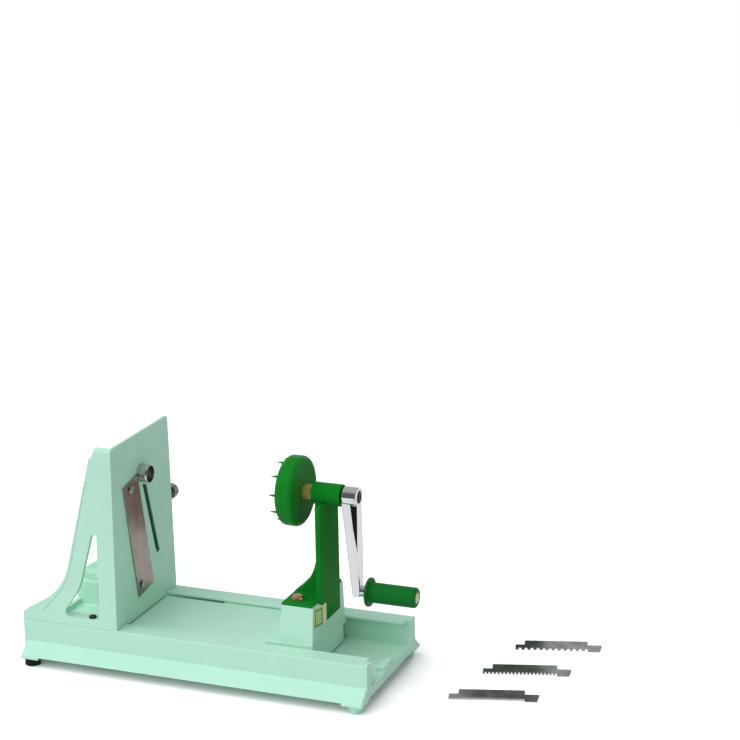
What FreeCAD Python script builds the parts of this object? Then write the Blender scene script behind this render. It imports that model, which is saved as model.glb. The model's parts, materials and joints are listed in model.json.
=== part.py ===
import FreeCAD, Part
import os
import re
import Sketcher

# Hand cranked spiral slicer. +X runs along the base towards the crank, +Z is up.
# The origin is the middle of the base, on the plane that the feet stand on. Lengths are in mm.

doc = FreeCAD.newDocument("SpiralSlicer")

SIZES = {
    # Base
    "base_length": 324.5,
    "skirt_width": 141.0,
    "rail_width": 116.5,
    "foot_height": 7.5,
    "skirt_lift": 2.5,
    "skirt_rise": 10.4,
    "rail_height": 33.0,
    "floor_depth": 22.0,
    "floor_thick": 2.5,
    "skirt_thick": 3.5,
    "end_wall": 3.0,
    "edge_round": 1.0,
    "corner_round": 2.0,
    "left_corner_round": 6.0,
    "lip_gap": 80.0,
    "lip_thick": 2.4,
    "lip_setback": 4.5,
    "groove_width": 95.0,
    "throat_width": 77.0,
    "throat_length": 21.5,
    "end_sill_height": 5.0,
    "end_sill_thick": 3.5,
    "stop_length": 7.0,
    "stop_width": 21.0,
    "stop_height": 5.5,
    "stop_aside": 8.5,
    "corner_pad_length": 19.0,
    "corner_pad_width": 17.0,
    # Feet
    "foot_inset": 9.0,
    "peg_top_radius": 7.8,
    "peg_tip_radius": 5.2,
    "pad_radius": 6.8,
    "foot_stub_radius": 3.0,
    "foot_stub_length": 3.5,
    # Tower
    "tower_length": 92.5,
    "tower_height": 163.4,
    "tower_lean": 4.0,
    "wall_thick": 4.5,
    "ledge_depth": 13.0,
    "panel_thick": 2.5,
    "panel_corner": 4.0,
    "crown_depth": 15.6,
    "crown_step_run": 2.7,
    "crown_step_drop": 7.8,
    "shoulder_run": 21.3,
    "shoulder_drop": 9.9,
    "far_shoulder_drop": 17.0,
    "knee_run": 51.4,
    "knee_rise": 32.0,
    "knee_radius": 55.0,
    "toe_rise": 7.5,
    "toe_radius": 12.0,
    "groove_depth": 0.6,
    "groove_cut": 0.9,
    "groove_top": 131.8,
    "groove_top_run": 25.7,
    "groove_hook": 4.0,
    "groove_knee_run": 47.5,
    "groove_knee_rise": 37.3,
    "groove_knee_radius": 60.0,
    "groove_toe_run": 72.4,
    "groove_toe_rise": 10.3,
    "window_front": 16.8,
    "window_foot": 7.0,
    "window_top": 85.0,
    "window_top_run": 21.5,
    "window_bend_run": 35.5,
    "window_bend_rise": 33.8,
    "window_bend_radius": 50.0,
    "window_toe_run": 54.5,
    "window_toe_radius": 5.0,
    # Slot in the panel, from its head by the tube down to its foot
    "slot_head_near": 1.2,
    "slot_head_far": 8.8,
    "slot_head_near_rise": 115.5,
    "slot_head_far_rise": 113.0,
    "slot_foot": 24.9,
    "slot_foot_rise": 44.3,
    "slot_foot_width": 6.6,
    "slot_lip_width": 1.2,
    "slot_lip_depth": 2.5,
    # Slicing blade on the panel
    "blade_thick": 1.2,
    "blade_top_near": 36.3,
    "blade_top_near_rise": 123.0,
    "blade_top_far": 9.0,
    "blade_top_far_rise": 127.9,
    "blade_foot_far": 12.5,
    "blade_foot_far_rise": 20.5,
    "blade_foot_near": 16.1,
    "blade_foot_near_rise": 16.0,
    "blade_screw_high": 22.9,
    "blade_screw_high_rise": 118.2,
    "blade_screw_low": 9.3,
    "blade_screw_low_rise": 26.2,
    # Coring tube
    "shaft_rise": 126.0,
    "tube_radius": 8.25,
    "tube_wall": 0.9,
    "tube_lip": 0.3,
    "tube_bevel": 1.8,
    "tube_proud": 9.0,
    "tube_behind": 24.0,
    "collar_radius": 10.0,
    "collar_length": 6.0,
    # Clamp screw in the far wall
    "thumb_setback": 5.0,
    "thumb_rise": 88.0,
    "thumb_screw_radius": 2.0,
    "knob_radius": 7.0,
    "knob_width": 7.0,
    "knob_gap": 4.2,
    "knob_collar_radius": 4.6,
    "knob_collar": 1.2,
    "knob_flutes": 24.0,
    "flute_radius": 0.55,
    "insert_radius": 4.0,
    "insert_inset": 0.6,
    "insert_length": 10.5,
    "insert_block_depth": 10.0,
    "insert_block_height": 13.0,
    "shoe_place": 18.0,
    "shoe_thick": 4.0,
    "shoe_height": 8.0,
    "shoe_depth": 5.6,
    "shoe_socket": 2.0,
    "guide_thick": 2.0,
    "guide_near": 18.0,
    "guide_far": 27.5,
    # Screws
    "screw_radius": 2.0,
    "pan_head_radius": 3.4,
    "pan_head_height": 2.0,
    "dome_head_radius": 5.4,
    "dome_head_height": 3.6,
    "dome_round": 3.3,
    "sill_screw_run": 26.5,
    "sill_screw_length": 17.0,
    "under_screw_run": 8.0,
    "under_screw_grip": 6.0,
    "blade_screw_length": 8.0,
    "post_screw_length": 14.0,
    "slot_width": 0.9,
    "slot_depth": 0.8,
    # Carriage
    "block_face": 104.75,
    "deck_length": 183.0,
    "deck_width": 76.4,
    "deck_drop": 3.0,
    "deck_thick": 2.5,
    "runner_length": 118.0,
    "runner_width": 94.4,
    "skid_width": 3.0,
    "block_top_length": 29.0,
    "block_foot_length": 30.7,
    "block_top_width": 68.0,
    "block_foot_width": 73.8,
    "block_rise": 34.6,
    "block_wall": 3.0,
    "block_solid": 20.0,
    "plinth_length": 44.0,
    "plinth_height": 4.0,
    "apron_width": 66.0,
    "apron_clear": 1.5,
    "badge_reach": 7.8,
    "badge_height": 17.0,
    "badge_thick": 0.8,
    "badge_side": 33.8,
    "badge_drop": 1.6,
    # Crank post
    "tongue_proud": 2.8,
    "tongue_thick": 5.0,
    "post_width": 41.0,
    "tongue_reach": 19.2,
    "post_shoulder": 5.5,
    "post_neck_width": 11.4,
    "post_neck_drop": 7.1,
    "boss_radius": 9.5,
    "boss_ahead": 12.6,
    "boss_behind": 13.3,
    "web_thick": 14.0,
    "web_depth": 10.4,
    "web_sweep": 40.0,
    "web_sweep_drop": 53.3,
    "web_foot_depth": 26.0,
    "foot_thick": 2.0,
    "foot_round": 1.0,
    "post_screw_back": 19.0,
    "post_screw_span": 42.0,
    "bush_radius": 6.0,
    "bush_length": 9.5,
    # Crank
    "shaft_radius": 4.0,
    "washer_thick": 1.0,
    "washer_radius": 7.5,
    "nut_length": 8.4,
    "nut_corner_radius": 6.8,
    "wheel_radius": 30.3,
    "wheel_thick": 16.0,
    "wheel_front_round": 5.0,
    "wheel_back_round": 4.0,
    "wheel_pocket_radius": 6.0,
    "wheel_pocket": 3.4,
    "spike_circle": 26.0,
    "spike_radius": 1.3,
    "spike_length": 6.0,
    "spike_tip_radius": 0.2,
    "spike_count": 10.0,
    "spike_phase": 12.0,
    "arm_gap": 0.8,
    "arm_top_depth": 14.2,
    "arm_top_width": 14.6,
    "arm_foot_depth": 6.4,
    "arm_foot_width": 10.6,
    "arm_foot_ahead": 8.4,
    "hub_radius": 8.6,
    "hub_pocket_radius": 5.2,
    "hub_pocket": 3.5,
    "crank_radius": 84.0,
    "arm_tail": 4.0,
    "foot_boss_radius": 4.8,
    "foot_boss_length": 12.0,
    "cap_head_radius": 4.5,
    "cap_head_height": 2.8,
    "end_screw_length": 12.0,
    # Grip
    "grip_gap": 0.5,
    "grip_length": 44.3,
    "grip_radius": 8.8,
    "grip_round": 3.0,
    "flange_radius": 12.6,
    "flange_width": 2.8,
    "flange_round": 1.0,
    "pin_radius": 3.0,
    "pin_head_radius": 4.2,
    "pin_head_height": 2.5,
    "cap_radius": 4.7,
    "cap_thick": 2.0,
    "cap_recess": 8.8,
    # Loose comb blades: a plate with a tab at each end and a row of teeth
    "comb_thick": 0.8,
    "comb_body": 56.0,
    "comb_width": 20.0,
    "comb_near_tab": 8.0,
    "comb_near_tab_width": 10.6,
    "comb_far_tab": 12.5,
    "comb_far_tab_width": 14.0,
    "comb_far_tab_drop": 2.3,
    "comb_far_tab_slant": 2.0,
    "comb_tooth": 4.0,
    "comb_angle": 16.0,
    "comb_spacing": 60.4,
    "comb_row_angle": 10.4,
    "comb_place": 214.45,
    "comb_place_across": -2.2,
    "coarse_teeth": 12.0,
    "medium_teeth": 20.0,
    "fine_teeth": 40.0,
    # Fits
    "running_fit": 0.05,
    "seat_fit": 0.02,
    "slide_fit": 0.3,
    "skid_fit": 0.2,
}

# Places that follow from the sizes
PLACES = {
    "left_end": "-base_length / 2",
    "right_end": "base_length / 2",
    "skirt_edge": "foot_height + skirt_lift",
    "crease": "skirt_edge + skirt_rise",
    "rail_top": "foot_height + rail_height",
    "channel_floor": "rail_top - floor_depth",
    "foot_x": "base_length / 2 - foot_inset",
    "foot_y": "skirt_width / 2 - foot_inset",
    "tower_front": "left_end + tower_length",
    "panel_back": "tower_front - panel_thick",
    "slot_slope": "(slot_foot + slot_foot_width / 2 - slot_head_far) / (slot_head_far_rise - slot_foot_rise)",
    "shaft_height": "rail_top + shaft_rise",
    "lean_angle": "atan(tower_lean / tower_height)",
    "thumb_x": "tower_front - thumb_setback",
    "thumb_z": "rail_top + thumb_rise",
    "wall_at_thumb": "rail_width / 2 - tower_lean * thumb_rise / tower_height",
    "sill_screw_x": "tower_front - sill_screw_run",
    "under_screw_x": "tower_front - under_screw_run",
    "wall_screw_y": "rail_width / 2 - ledge_depth / 2",
    "deck_top": "rail_top - deck_drop",
    "deck_under": "deck_top - deck_thick",
    "block_top": "rail_top + block_rise",
    "post_face": "block_face + tongue_proud",
    "tongue_back": "post_face - tongue_thick",
    "foot_top": "block_top + foot_thick",
    "badge_low": "block_top - badge_drop - badge_height",
    "boss_back": "post_face - boss_behind",
    "boss_front": "post_face + boss_ahead",
    "web_back": "tongue_back - web_depth + tongue_thick",
    "post_screw_x": "block_face - post_screw_back",
    "washer_back": "boss_back - skid_fit / 2 - washer_thick",
    "wheel_back": "washer_back - nut_length",
    "wheel_front": "wheel_back - wheel_thick",
    "arm_back": "boss_front + arm_gap",
    "hub_front": "arm_back + arm_top_depth",
    "grip_axis": "shaft_height - crank_radius",
    "arm_foot_back": "arm_back + arm_foot_ahead",
    "boss_end": "arm_foot_back + foot_boss_length",
    "grip_back": "boss_end + grip_gap",
    "pin_seat": "grip_back + grip_length - cap_recess",
}

sheet = doc.addObject("Spreadsheet::Sheet", "Sizes")
for row, (alias, size) in enumerate(SIZES.items(), start=1):
    sheet.set(f"A{row}", alias)
    sheet.set(f"B{row}", str(size))
    sheet.setAlias(f"B{row}", alias)
doc.recompute()


def bound(text):
    """The expression with each alias written out with the sheet that holds it."""
    def sheet_name(match):
        word = match.group(0)
        if word in SIZES:
            return f"Sizes.{word}"
        if word in PLACES:
            return f"Places.{word}"
        return word
    return re.sub(r"[a-z][a-z_]*", sheet_name, text)


places = doc.addObject("Spreadsheet::Sheet", "Places")
for row, (alias, formula) in enumerate(PLACES.items(), start=1):
    places.set(f"A{row}", alias)
    places.set(f"B{row}", "=" + bound(formula).replace("Places.", ""))
    places.setAlias(f"B{row}", alias)
doc.recompute()


def number(text):
    """The present value of an expression."""
    found = sheet.evalExpression(bound(text))
    return float(getattr(found, "Value", found))


def tie(target, **expressions):
    for name, text in expressions.items():
        target.setExpression(name, bound(text))


def place(target, x="0", y="0", z="0", axis=(0, 0, 1), angle=0.0):
    """Set where a sub-part stands, with its place tied to the sheets."""
    turn = FreeCAD.Rotation(FreeCAD.Vector(*axis), angle)
    target.Placement = FreeCAD.Placement(FreeCAD.Vector(0, 0, 0), turn)
    for letter, text in (("x", x), ("y", y), ("z", z)):
        if text != "0":
            target.setExpression(f"Placement.Base.{letter}", bound(text))
    return target


# Slack for picking edges by where they are, and the least change that counts
SLACK = 0.01
TINY = 1e-6

ALONG_Y = {"axis": (0, 0, 1), "angle": 90.0}
UPWARDS = {"axis": (0, 1, 0), "angle": -90.0}
DOWNWARDS = {"axis": (0, 1, 0), "angle": 90.0}


def new_body(label):
    return doc.addObject("PartDesign::Body", label)


def new_sketch(body, purpose, role, level):
    """A sketch on one of the body's own origin planes, lifted along its normal by level."""
    sketch = body.newObject("Sketcher::SketchObject", f"{body.Name}_{purpose}")
    plane = [item for item in body.Origin.OriginFeatures if item.Role == role][0]
    sketch.AttachmentSupport = [(plane, "")]
    sketch.MapMode = "FlatFace"
    if level != "0":
        sketch.setExpression("AttachmentOffset.Base.z", bound(level))
    return sketch


def fix_point(sketch, geometry, end, across, up):
    """Hold one point of a sketch at two expressions, measured from the sketch's origin."""
    for kind, text in (("DistanceX", across), ("DistanceY", up)):
        rule = Sketcher.Constraint(kind, -1, 1, geometry, end, number(text))
        index = sketch.addConstraint(rule)
        sketch.setExpression(f"Constraints[{index}]", bound(text))


def add_outline(sketch, corners):
    """Add a closed outline. A corner is (across, up) or (across, up, radius) when it is rounded."""
    first = len(sketch.Geometry)
    count = len(corners)
    points = [FreeCAD.Vector(number(corner[0]), number(corner[1]), 0) for corner in corners]
    for index, point in enumerate(points):
        sketch.addGeometry(Part.LineSegment(point, points[(index + 1) % count]), False)
    for index in range(count):
        follower = first + (index + 1) % count
        sketch.addConstraint(Sketcher.Constraint("Coincident", first + index, 2, follower, 1))
    for index, corner in enumerate(corners):
        fix_point(sketch, first + index, 1, corner[0], corner[1])
    for index, corner in enumerate(corners):
        if len(corner) == 3:
            round_corner(sketch, first + (index - 1) % count, first + index, corner[2])


def round_corner(sketch, before, after, radius):
    """Round the corner between two lines of an outline with an arc of a named radius."""
    near_before = sketch.Geometry[before].value(sketch.Geometry[before].LastParameter * 0.9)
    near_after = sketch.Geometry[after].value(sketch.Geometry[after].LastParameter * 0.1)
    arc = len(sketch.Geometry)
    sketch.fillet(before, after, near_before, near_after, number(radius), True, True)
    index = sketch.addConstraint(Sketcher.Constraint("Radius", arc, number(radius)))
    sketch.setExpression(f"Constraints[{index}]", bound(radius))


def outline(body, purpose, role, corners, level="0"):
    sketch = new_sketch(body, purpose, role, level)
    add_outline(sketch, corners)
    return sketch


def rectangle(body, purpose, role, low, high, level="0"):
    corners = [low, (high[0], low[1]), high, (low[0], high[1])]
    return outline(body, purpose, role, corners, level)


def circles(body, purpose, role, rounds, level="0"):
    """A sketch of circles, each (across, up, radius)."""
    sketch = new_sketch(body, purpose, role, level)
    for across, up, radius in rounds:
        centre = FreeCAD.Vector(number(across), number(up), 0)
        circle = Part.Circle(centre, FreeCAD.Vector(0, 0, 1), number(radius))
        geometry = sketch.addGeometry(circle, False)
        fix_point(sketch, geometry, 3, across, up)
        index = sketch.addConstraint(Sketcher.Constraint("Radius", geometry, number(radius)))
        sketch.setExpression(f"Constraints[{index}]", bound(radius))
    return sketch


def pad(body, sketch, length, backwards=False):
    """Add a sketch's area, along its normal or backwards."""
    feature = body.newObject("PartDesign::Pad", f"{sketch.Name}_pad")
    feature.Profile = sketch
    feature.Reversed = backwards
    tie(feature, Length=length)
    doc.recompute()
    return feature


def pocket(body, sketch, length, forwards=False):
    """Cut a sketch's area away, against its normal or forwards."""
    feature = body.newObject("PartDesign::Pocket", f"{sketch.Name}_cut")
    feature.Profile = sketch
    feature.Reversed = forwards
    tie(feature, Length=length)
    doc.recompute()
    return feature


def turned(label, corners):
    """A turned piece: an outline of (along, radius) corners spun about the body's own X axis."""
    body = new_body(label)
    sketch = outline(body, "profile", "XZ_Plane", corners)
    feature = body.newObject("PartDesign::Revolution", f"{label}_turn")
    feature.Profile = sketch
    feature.ReferenceAxis = (sketch, ["H_Axis"])
    feature.Angle = 360.0
    doc.recompute()
    return body


def round_edges(body, radius, chosen):
    """Round the edges of the body's tip for which chosen(edge) is true."""
    base = body.Tip
    names = [f"Edge{index}" for index, edge in enumerate(base.Shape.Edges, start=1) if chosen(edge)]
    feature = body.newObject("PartDesign::Fillet", f"{base.Name}_round")
    feature.Base = (base, names)
    tie(feature, Radius=radius)
    doc.recompute()
    return feature


def spans(edge, axis):
    """True when an edge is a straight line along one axis, given as 0, 1 or 2."""
    if len(edge.Vertexes) != 2 or not isinstance(edge.Curve, Part.Line):
        return False
    step = edge.Vertexes[1].Point - edge.Vertexes[0].Point
    return abs(abs(step[axis]) - step.Length) < TINY


def centre_of(edge):
    return edge.BoundBox.Center


def group(label, members):
    """Separate solids of the same kind, kept as one sub-part."""
    compound = doc.addObject("Part::Compound", label)
    compound.Links = members
    return compound


# ---------------------------------------------------------------- base

def make_base_channel():
    body = new_body("base_channel")
    half_skirt = "skirt_width / 2"
    half_rail = "rail_width / 2"
    section = [
        (f"-{half_skirt}", "skirt_edge"),
        (half_skirt, "skirt_edge"),
        (half_rail, "crease"),
        (half_rail, "rail_top", "edge_round"),
        (f"-{half_rail}", "rail_top", "edge_round"),
        (f"-{half_rail}", "crease"),
    ]
    pad(body, outline(body, "section", "YZ_Plane", section, "left_end"), "base_length")

    # Slab pads under the four corners carry the feet
    for side in ("-", ""):
        for end in ("-", ""):
            inner_x = f"{end}(base_length / 2 - corner_pad_length)"
            inner_y = f"{side}(skirt_width / 2 - corner_pad_width)"
            outer = (f"{end}base_length / 2", f"{side}skirt_width / 2")
            name = "corner" + ("_near" if side else "_far") + ("_left" if end else "_right")
            sketch = rectangle(body, name, "XY_Plane", (inner_x, inner_y), outer, "foot_height")
            pad(body, sketch, "skirt_lift")

    # Underside: one wide hollow inside the skirt
    hollow_top = "channel_floor - floor_thick"
    hollow = [
        (f"-({half_skirt} - skirt_thick)", "skirt_edge"),
        (f"{half_skirt} - skirt_thick", "skirt_edge"),
        (half_rail, hollow_top),
        (f"-{half_rail}", hollow_top),
    ]
    sketch = outline(body, "underside", "YZ_Plane", hollow, "left_end + end_wall")
    pocket(body, sketch, "base_length - 2 * end_wall", forwards=True)

    # Channel: a wide groove under the lips, the gap between the lips, and the throat at the left end
    low = ("-groove_width / 2", "channel_floor")
    high = ("groove_width / 2", "rail_top - lip_thick")
    sketch = rectangle(body, "groove", "YZ_Plane", low, high, "left_end + throat_length")
    pocket(body, sketch, "base_length - throat_length", forwards=True)
    low = ("-lip_gap / 2", "channel_floor")
    high = ("lip_gap / 2", "rail_top")
    sketch = rectangle(body, "gap", "YZ_Plane", low, high, "left_end + throat_length")
    pocket(body, sketch, "base_length - throat_length", forwards=True)
    low = ("-groove_width / 2", "channel_floor")
    high = ("groove_width / 2", "rail_top")
    sketch = rectangle(body, "open_end", "YZ_Plane", low, high, "right_end - lip_setback")
    pocket(body, sketch, "lip_setback", forwards=True)
    low = ("-throat_width / 2", "channel_floor + end_sill_height")
    high = ("throat_width / 2", "rail_top")
    sketch = rectangle(body, "throat", "YZ_Plane", low, high, "left_end")
    pocket(body, sketch, "throat_length", forwards=True)
    low = ("-throat_width / 2", "channel_floor")
    sketch = rectangle(body, "throat_floor", "YZ_Plane", low, high, "left_end + end_sill_thick")
    pocket(body, sketch, "throat_length - end_sill_thick", forwards=True)

    # Stop on the channel floor at the open end
    low = ("right_end - stop_length", "-stop_aside - stop_width / 2")
    high = ("right_end", "stop_width / 2 - stop_aside")
    pad(body, rectangle(body, "stop", "XY_Plane", low, high, "channel_floor"), "stop_height")

    # Holes for the feet, for the screws that come up into the tower, and for those that come down
    feet = [(f"{end}foot_x", f"{side}foot_y", "foot_stub_radius + seat_fit")
            for end in ("-", "") for side in ("-", "")]
    sketch = circles(body, "foot_holes", "XY_Plane", feet, "foot_height")
    pocket(body, sketch, "skirt_lift", forwards=True)
    risers = [("under_screw_x", f"{side}wall_screw_y", "screw_radius + seat_fit") for side in ("-", "")]
    sketch = circles(body, "riser_holes", "XY_Plane", risers, "rail_top")
    pocket(body, sketch, "floor_depth + floor_thick")
    sinkers = [("sill_screw_x", f"{side}wall_screw_y", "screw_radius + seat_fit") for side in ("-", "")]
    sketch = circles(body, "sinker_holes", "XY_Plane", sinkers, "rail_top")
    pocket(body, sketch, "sill_screw_length - window_foot")

    # The skirt's upright corners
    reach = number("base_length") / 2 - SLACK
    highest = number("crease") + SLACK
    shortest = number("skirt_rise / 2")

    def at_corner(edge, end):
        centre = centre_of(edge)
        flare = abs(centre.y) > number("rail_width") / 2 - SLACK
        long_enough = edge.Length > shortest and not spans(edge, 1)
        return centre.x * end > reach and flare and centre.z < highest and long_enough

    round_edges(body, "corner_round", lambda edge: at_corner(edge, 1))
    round_edges(body, "left_corner_round", lambda edge: at_corner(edge, -1))
    return body


def make_feet():
    pegs = []
    pads = []
    for side, word in (("-", "near"), ("", "far")):
        peg = turned(f"peg_{word}", [
            ("0", "0"),
            ("0", "peg_tip_radius", "edge_round"),
            ("foot_height", "peg_top_radius"),
            ("foot_height", "foot_stub_radius"),
            ("foot_height + foot_stub_length", "foot_stub_radius"),
            ("foot_height + foot_stub_length", "0"),
        ])
        pegs.append(place(peg, "foot_x", f"{side}foot_y", **UPWARDS))
        rubber = turned(f"rubber_{word}", [
            ("0", "0"),
            ("0", "pad_radius", "edge_round"),
            ("foot_height", "pad_radius"),
            ("foot_height", "foot_stub_radius"),
            ("foot_height + foot_stub_length", "foot_stub_radius"),
            ("foot_height + foot_stub_length", "0"),
        ])
        pads.append(place(rubber, "-foot_x", f"{side}foot_y", **UPWARDS))
    return [group("peg_feet", pegs), group("rubber_feet", pads)]


# ---------------------------------------------------------------- tower

BLADE_HOLES = [
    ("-blade_screw_high", "rail_top + blade_screw_high_rise", "screw_radius + seat_fit"),
    ("-blade_screw_low", "rail_top + blade_screw_low_rise", "screw_radius + seat_fit"),
]


def make_tower_wall(label, crown):
    """A side wall, which leans inwards as it rises. Its sketches run up from the rail."""
    body = new_body(label)

    def leaning(purpose, corners):
        sketch = outline(body, purpose, "XZ_Plane", corners, "rail_width / 2")
        tie(sketch, **{
            "AttachmentOffset.Base.y": "rail_top",
            "AttachmentOffset.Rotation.Axis.x": "1",
            "AttachmentOffset.Rotation.Axis.z": "0",
            "AttachmentOffset.Rotation.Angle": "-lean_angle",
        })
        return sketch

    wall = [
        ("tower_front", "0"),
        ("tower_front", "tower_height + edge_round"),
        *crown,
        ("tower_front - knee_run", "knee_rise", "knee_radius"),
        ("left_end", "toe_rise", "toe_radius"),
        ("left_end", "0"),
    ]
    pad(body, leaning("wall", wall), "wall_thick", backwards=True)
    ledge = [
        ("tower_front", "0"),
        ("tower_front", "window_foot"),
        ("left_end", "window_foot"),
        ("left_end", "0"),
    ]
    pad(body, leaning("ledge", ledge), "ledge_depth", backwards=True)

    # A thin groove follows the back edge, with a short hook at its top
    groove = [
        ("tower_front - groove_top_run + groove_hook", "groove_top"),
        ("tower_front - groove_top_run", "groove_top"),
        ("tower_front - groove_knee_run", "groove_knee_rise", "groove_knee_radius"),
        ("tower_front - groove_toe_run", "groove_toe_rise"),
        ("tower_front - groove_toe_run + groove_cut", "groove_toe_rise - groove_cut"),
        ("tower_front - groove_knee_run + groove_cut", "groove_knee_rise - groove_cut", "groove_knee_radius"),
        ("tower_front - groove_top_run + groove_cut", "groove_top - groove_cut"),
        ("tower_front - groove_top_run + groove_hook", "groove_top - groove_cut"),
    ]
    pocket(body, leaning("groove", groove), "groove_depth")
    window = [
        ("tower_front - window_front", "window_foot"),
        ("tower_front - window_front", "window_top"),
        ("tower_front - window_top_run", "window_top"),
        ("tower_front - window_bend_run", "window_bend_rise", "window_bend_radius"),
        ("tower_front - window_toe_run", "window_foot", "window_toe_radius"),
    ]
    pocket(body, leaning("window", window), "ledge_depth")

    # Foot and top are cut level, and the outer edge of the top is rounded
    low = ("left_end - edge_round", "-rail_width")
    high = ("tower_front + edge_round", "0")
    pocket(body, rectangle(body, "seat", "XY_Plane", low, high, "rail_top"), "ledge_depth")
    sketch = rectangle(body, "head", "XY_Plane", low, high, "rail_top + tower_height")
    pocket(body, sketch, "ledge_depth", forwards=True)
    top = number("rail_top + tower_height") - SLACK
    outside = number("tower_lean - rail_width / 2 + edge_round")

    def on_crown(edge):
        centre = centre_of(edge)
        return spans(edge, 0) and centre.z > top and centre.y < outside

    round_edges(body, "panel_corner", on_crown)

    # Holes for its two screws
    hole = [("sill_screw_x", "-wall_screw_y", "screw_radius + seat_fit")]
    sketch = circles(body, "sill_hole", "XY_Plane", hole, "rail_top")
    pocket(body, sketch, "window_foot + edge_round", forwards=True)
    hole = [("under_screw_x", "-wall_screw_y", "screw_radius + seat_fit")]
    sketch = circles(body, "under_hole", "XY_Plane", hole, "rail_top")
    pocket(body, sketch, "under_screw_grip", forwards=True)
    return body


def make_tower_frame():
    # The near wall has a short level crown. The far one falls away behind the panel.
    near = make_tower_wall("tower_wall_near", [
        ("tower_front - crown_depth", "tower_height + edge_round"),
        ("tower_front - crown_depth - crown_step_run", "tower_height - crown_step_drop"),
        ("tower_front - shoulder_run", "tower_height - shoulder_drop"),
    ])
    source = make_tower_wall("tower_wall_source", [
        ("panel_back", "tower_height + edge_round"),
        ("tower_front - shoulder_run", "tower_height - far_shoulder_drop"),
    ])
    far = doc.addObject("Part::Mirroring", "tower_wall_far")
    far.Source = source
    far.Normal = FreeCAD.Vector(0, 1, 0)

    panel = new_body("tower_panel")
    foot = "rail_width / 2 - panel_corner"
    head = "rail_width / 2 - panel_corner - tower_lean"
    corners = [
        (f"-({foot})", "rail_top"),
        (foot, "rail_top"),
        (head, "rail_top + tower_height"),
        (f"-({head})", "rail_top + tower_height"),
    ]
    pad(panel, outline(panel, "sheet", "YZ_Plane", corners, "panel_back"), "panel_thick")

    # Block behind the panel that holds the clamp's insert in the far wall
    low = ("wall_at_thumb - ledge_depth", "thumb_z - insert_block_height / 2")
    high = ("wall_at_thumb - wall_thick / 2", "thumb_z + insert_block_height / 2")
    sketch = rectangle(panel, "insert_block", "YZ_Plane", low, high, "panel_back")
    pad(panel, sketch, "insert_block_depth", backwards=True)

    # Guides behind the panel, above and below the clamp's shoe
    for word, sign in (("high", ""), ("low", "-")):
        inner = f"thumb_z + {sign}(shoe_height / 2 + slide_fit)"
        outer = f"thumb_z + {sign}(shoe_height / 2 + slide_fit + guide_thick)"
        low = ("guide_near", inner)
        high = ("guide_far", outer)
        sketch = rectangle(panel, f"guide_{word}", "YZ_Plane", low, high, "panel_back")
        pad(panel, sketch, "shoe_depth", backwards=True)

    # Lips behind the panel along the slot's far side, above and below the guides
    clear = "(shoe_height / 2 + slide_fit + guide_thick)"
    spans = [("high", "slot_head_far_rise", f"thumb_rise + {clear}")]
    spans.append(("low", f"thumb_rise - {clear}", "slot_foot_rise"))
    for word, upper, lower in spans:
        corners = []
        for rise, aside in ((upper, "0"), (upper, "slot_lip_width"), (lower, "slot_lip_width"), (lower, "0")):
            across = f"slot_head_far + slot_slope * (slot_head_far_rise - ({rise})) + {aside}"
            corners.append((across, f"rail_top + {rise}"))
        sketch = outline(panel, f"slot_lip_{word}", "YZ_Plane", corners, "panel_back")
        pad(panel, sketch, "slot_lip_depth", backwards=True)

    # Cuts through the panel: the tube's hole, the slot and the blade's two screw holes
    tube_hole = [("0", "shaft_height", "tube_radius + seat_fit")]
    sketch = circles(panel, "tube_hole", "YZ_Plane", tube_hole, "tower_front")
    pocket(panel, sketch, "panel_thick")
    slot = [
        ("slot_head_near", "rail_top + slot_head_near_rise"),
        ("slot_head_far", "rail_top + slot_head_far_rise"),
        ("slot_foot + slot_foot_width / 2", "rail_top + slot_foot_rise"),
        ("slot_foot - slot_foot_width / 2", "rail_top + slot_foot_rise"),
    ]
    pocket(panel, outline(panel, "slot", "YZ_Plane", slot, "tower_front"), "panel_thick")
    sketch = circles(panel, "blade_holes", "YZ_Plane", BLADE_HOLES, "tower_front")
    pocket(panel, sketch, "panel_thick")

    shell = doc.addObject("Part::MultiFuse", "tower_shell")
    shell.Shapes = [panel, near, far]
    shell.Refine = True
    drill = doc.addObject("Part::Cylinder", "insert_drill")
    tie(drill, Radius="insert_radius + seat_fit", Height="2 * ledge_depth")
    drill_start = "wall_at_thumb - ledge_depth - edge_round"
    place(drill, "thumb_x", drill_start, "thumb_z", axis=(1, 0, 0), angle=-90.0)
    frame = doc.addObject("Part::Cut", "tower_frame")
    frame.Base = shell
    frame.Tool = drill
    return frame


def make_slicing_blade():
    body = new_body("slicing_blade")
    plate = [
        ("-blade_top_near", "rail_top + blade_top_near_rise"),
        ("-blade_top_far", "rail_top + blade_top_far_rise"),
        ("blade_foot_far", "rail_top + blade_foot_far_rise"),
        ("-blade_foot_near", "rail_top + blade_foot_near_rise"),
    ]
    pad(body, outline(body, "plate", "YZ_Plane", plate, "tower_front"), "blade_thick")
    notch = [("0", "shaft_height", "tube_radius + slide_fit")]
    pocket(body, circles(body, "notch", "YZ_Plane", notch, "tower_front"), "blade_thick", forwards=True)
    pocket(body, circles(body, "holes", "YZ_Plane", BLADE_HOLES, "tower_front"), "blade_thick", forwards=True)
    return body


def pan_screw(label, length):
    """A slotted pan head screw: its head stands out from 0 towards +X, its shank runs to -X."""
    body = turned(label, [
        (f"-({length})", "0"),
        (f"-({length})", "screw_radius"),
        ("0", "screw_radius"),
        ("0", "pan_head_radius"),
        ("pan_head_height", "pan_head_radius", "edge_round"),
        ("pan_head_height", "0"),
    ])
    low = ("-slot_width / 2", "-pan_head_radius")
    high = ("slot_width / 2", "pan_head_radius")
    pocket(body, rectangle(body, "driver", "YZ_Plane", low, high, "pan_head_height"), "slot_depth")
    return body


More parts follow.
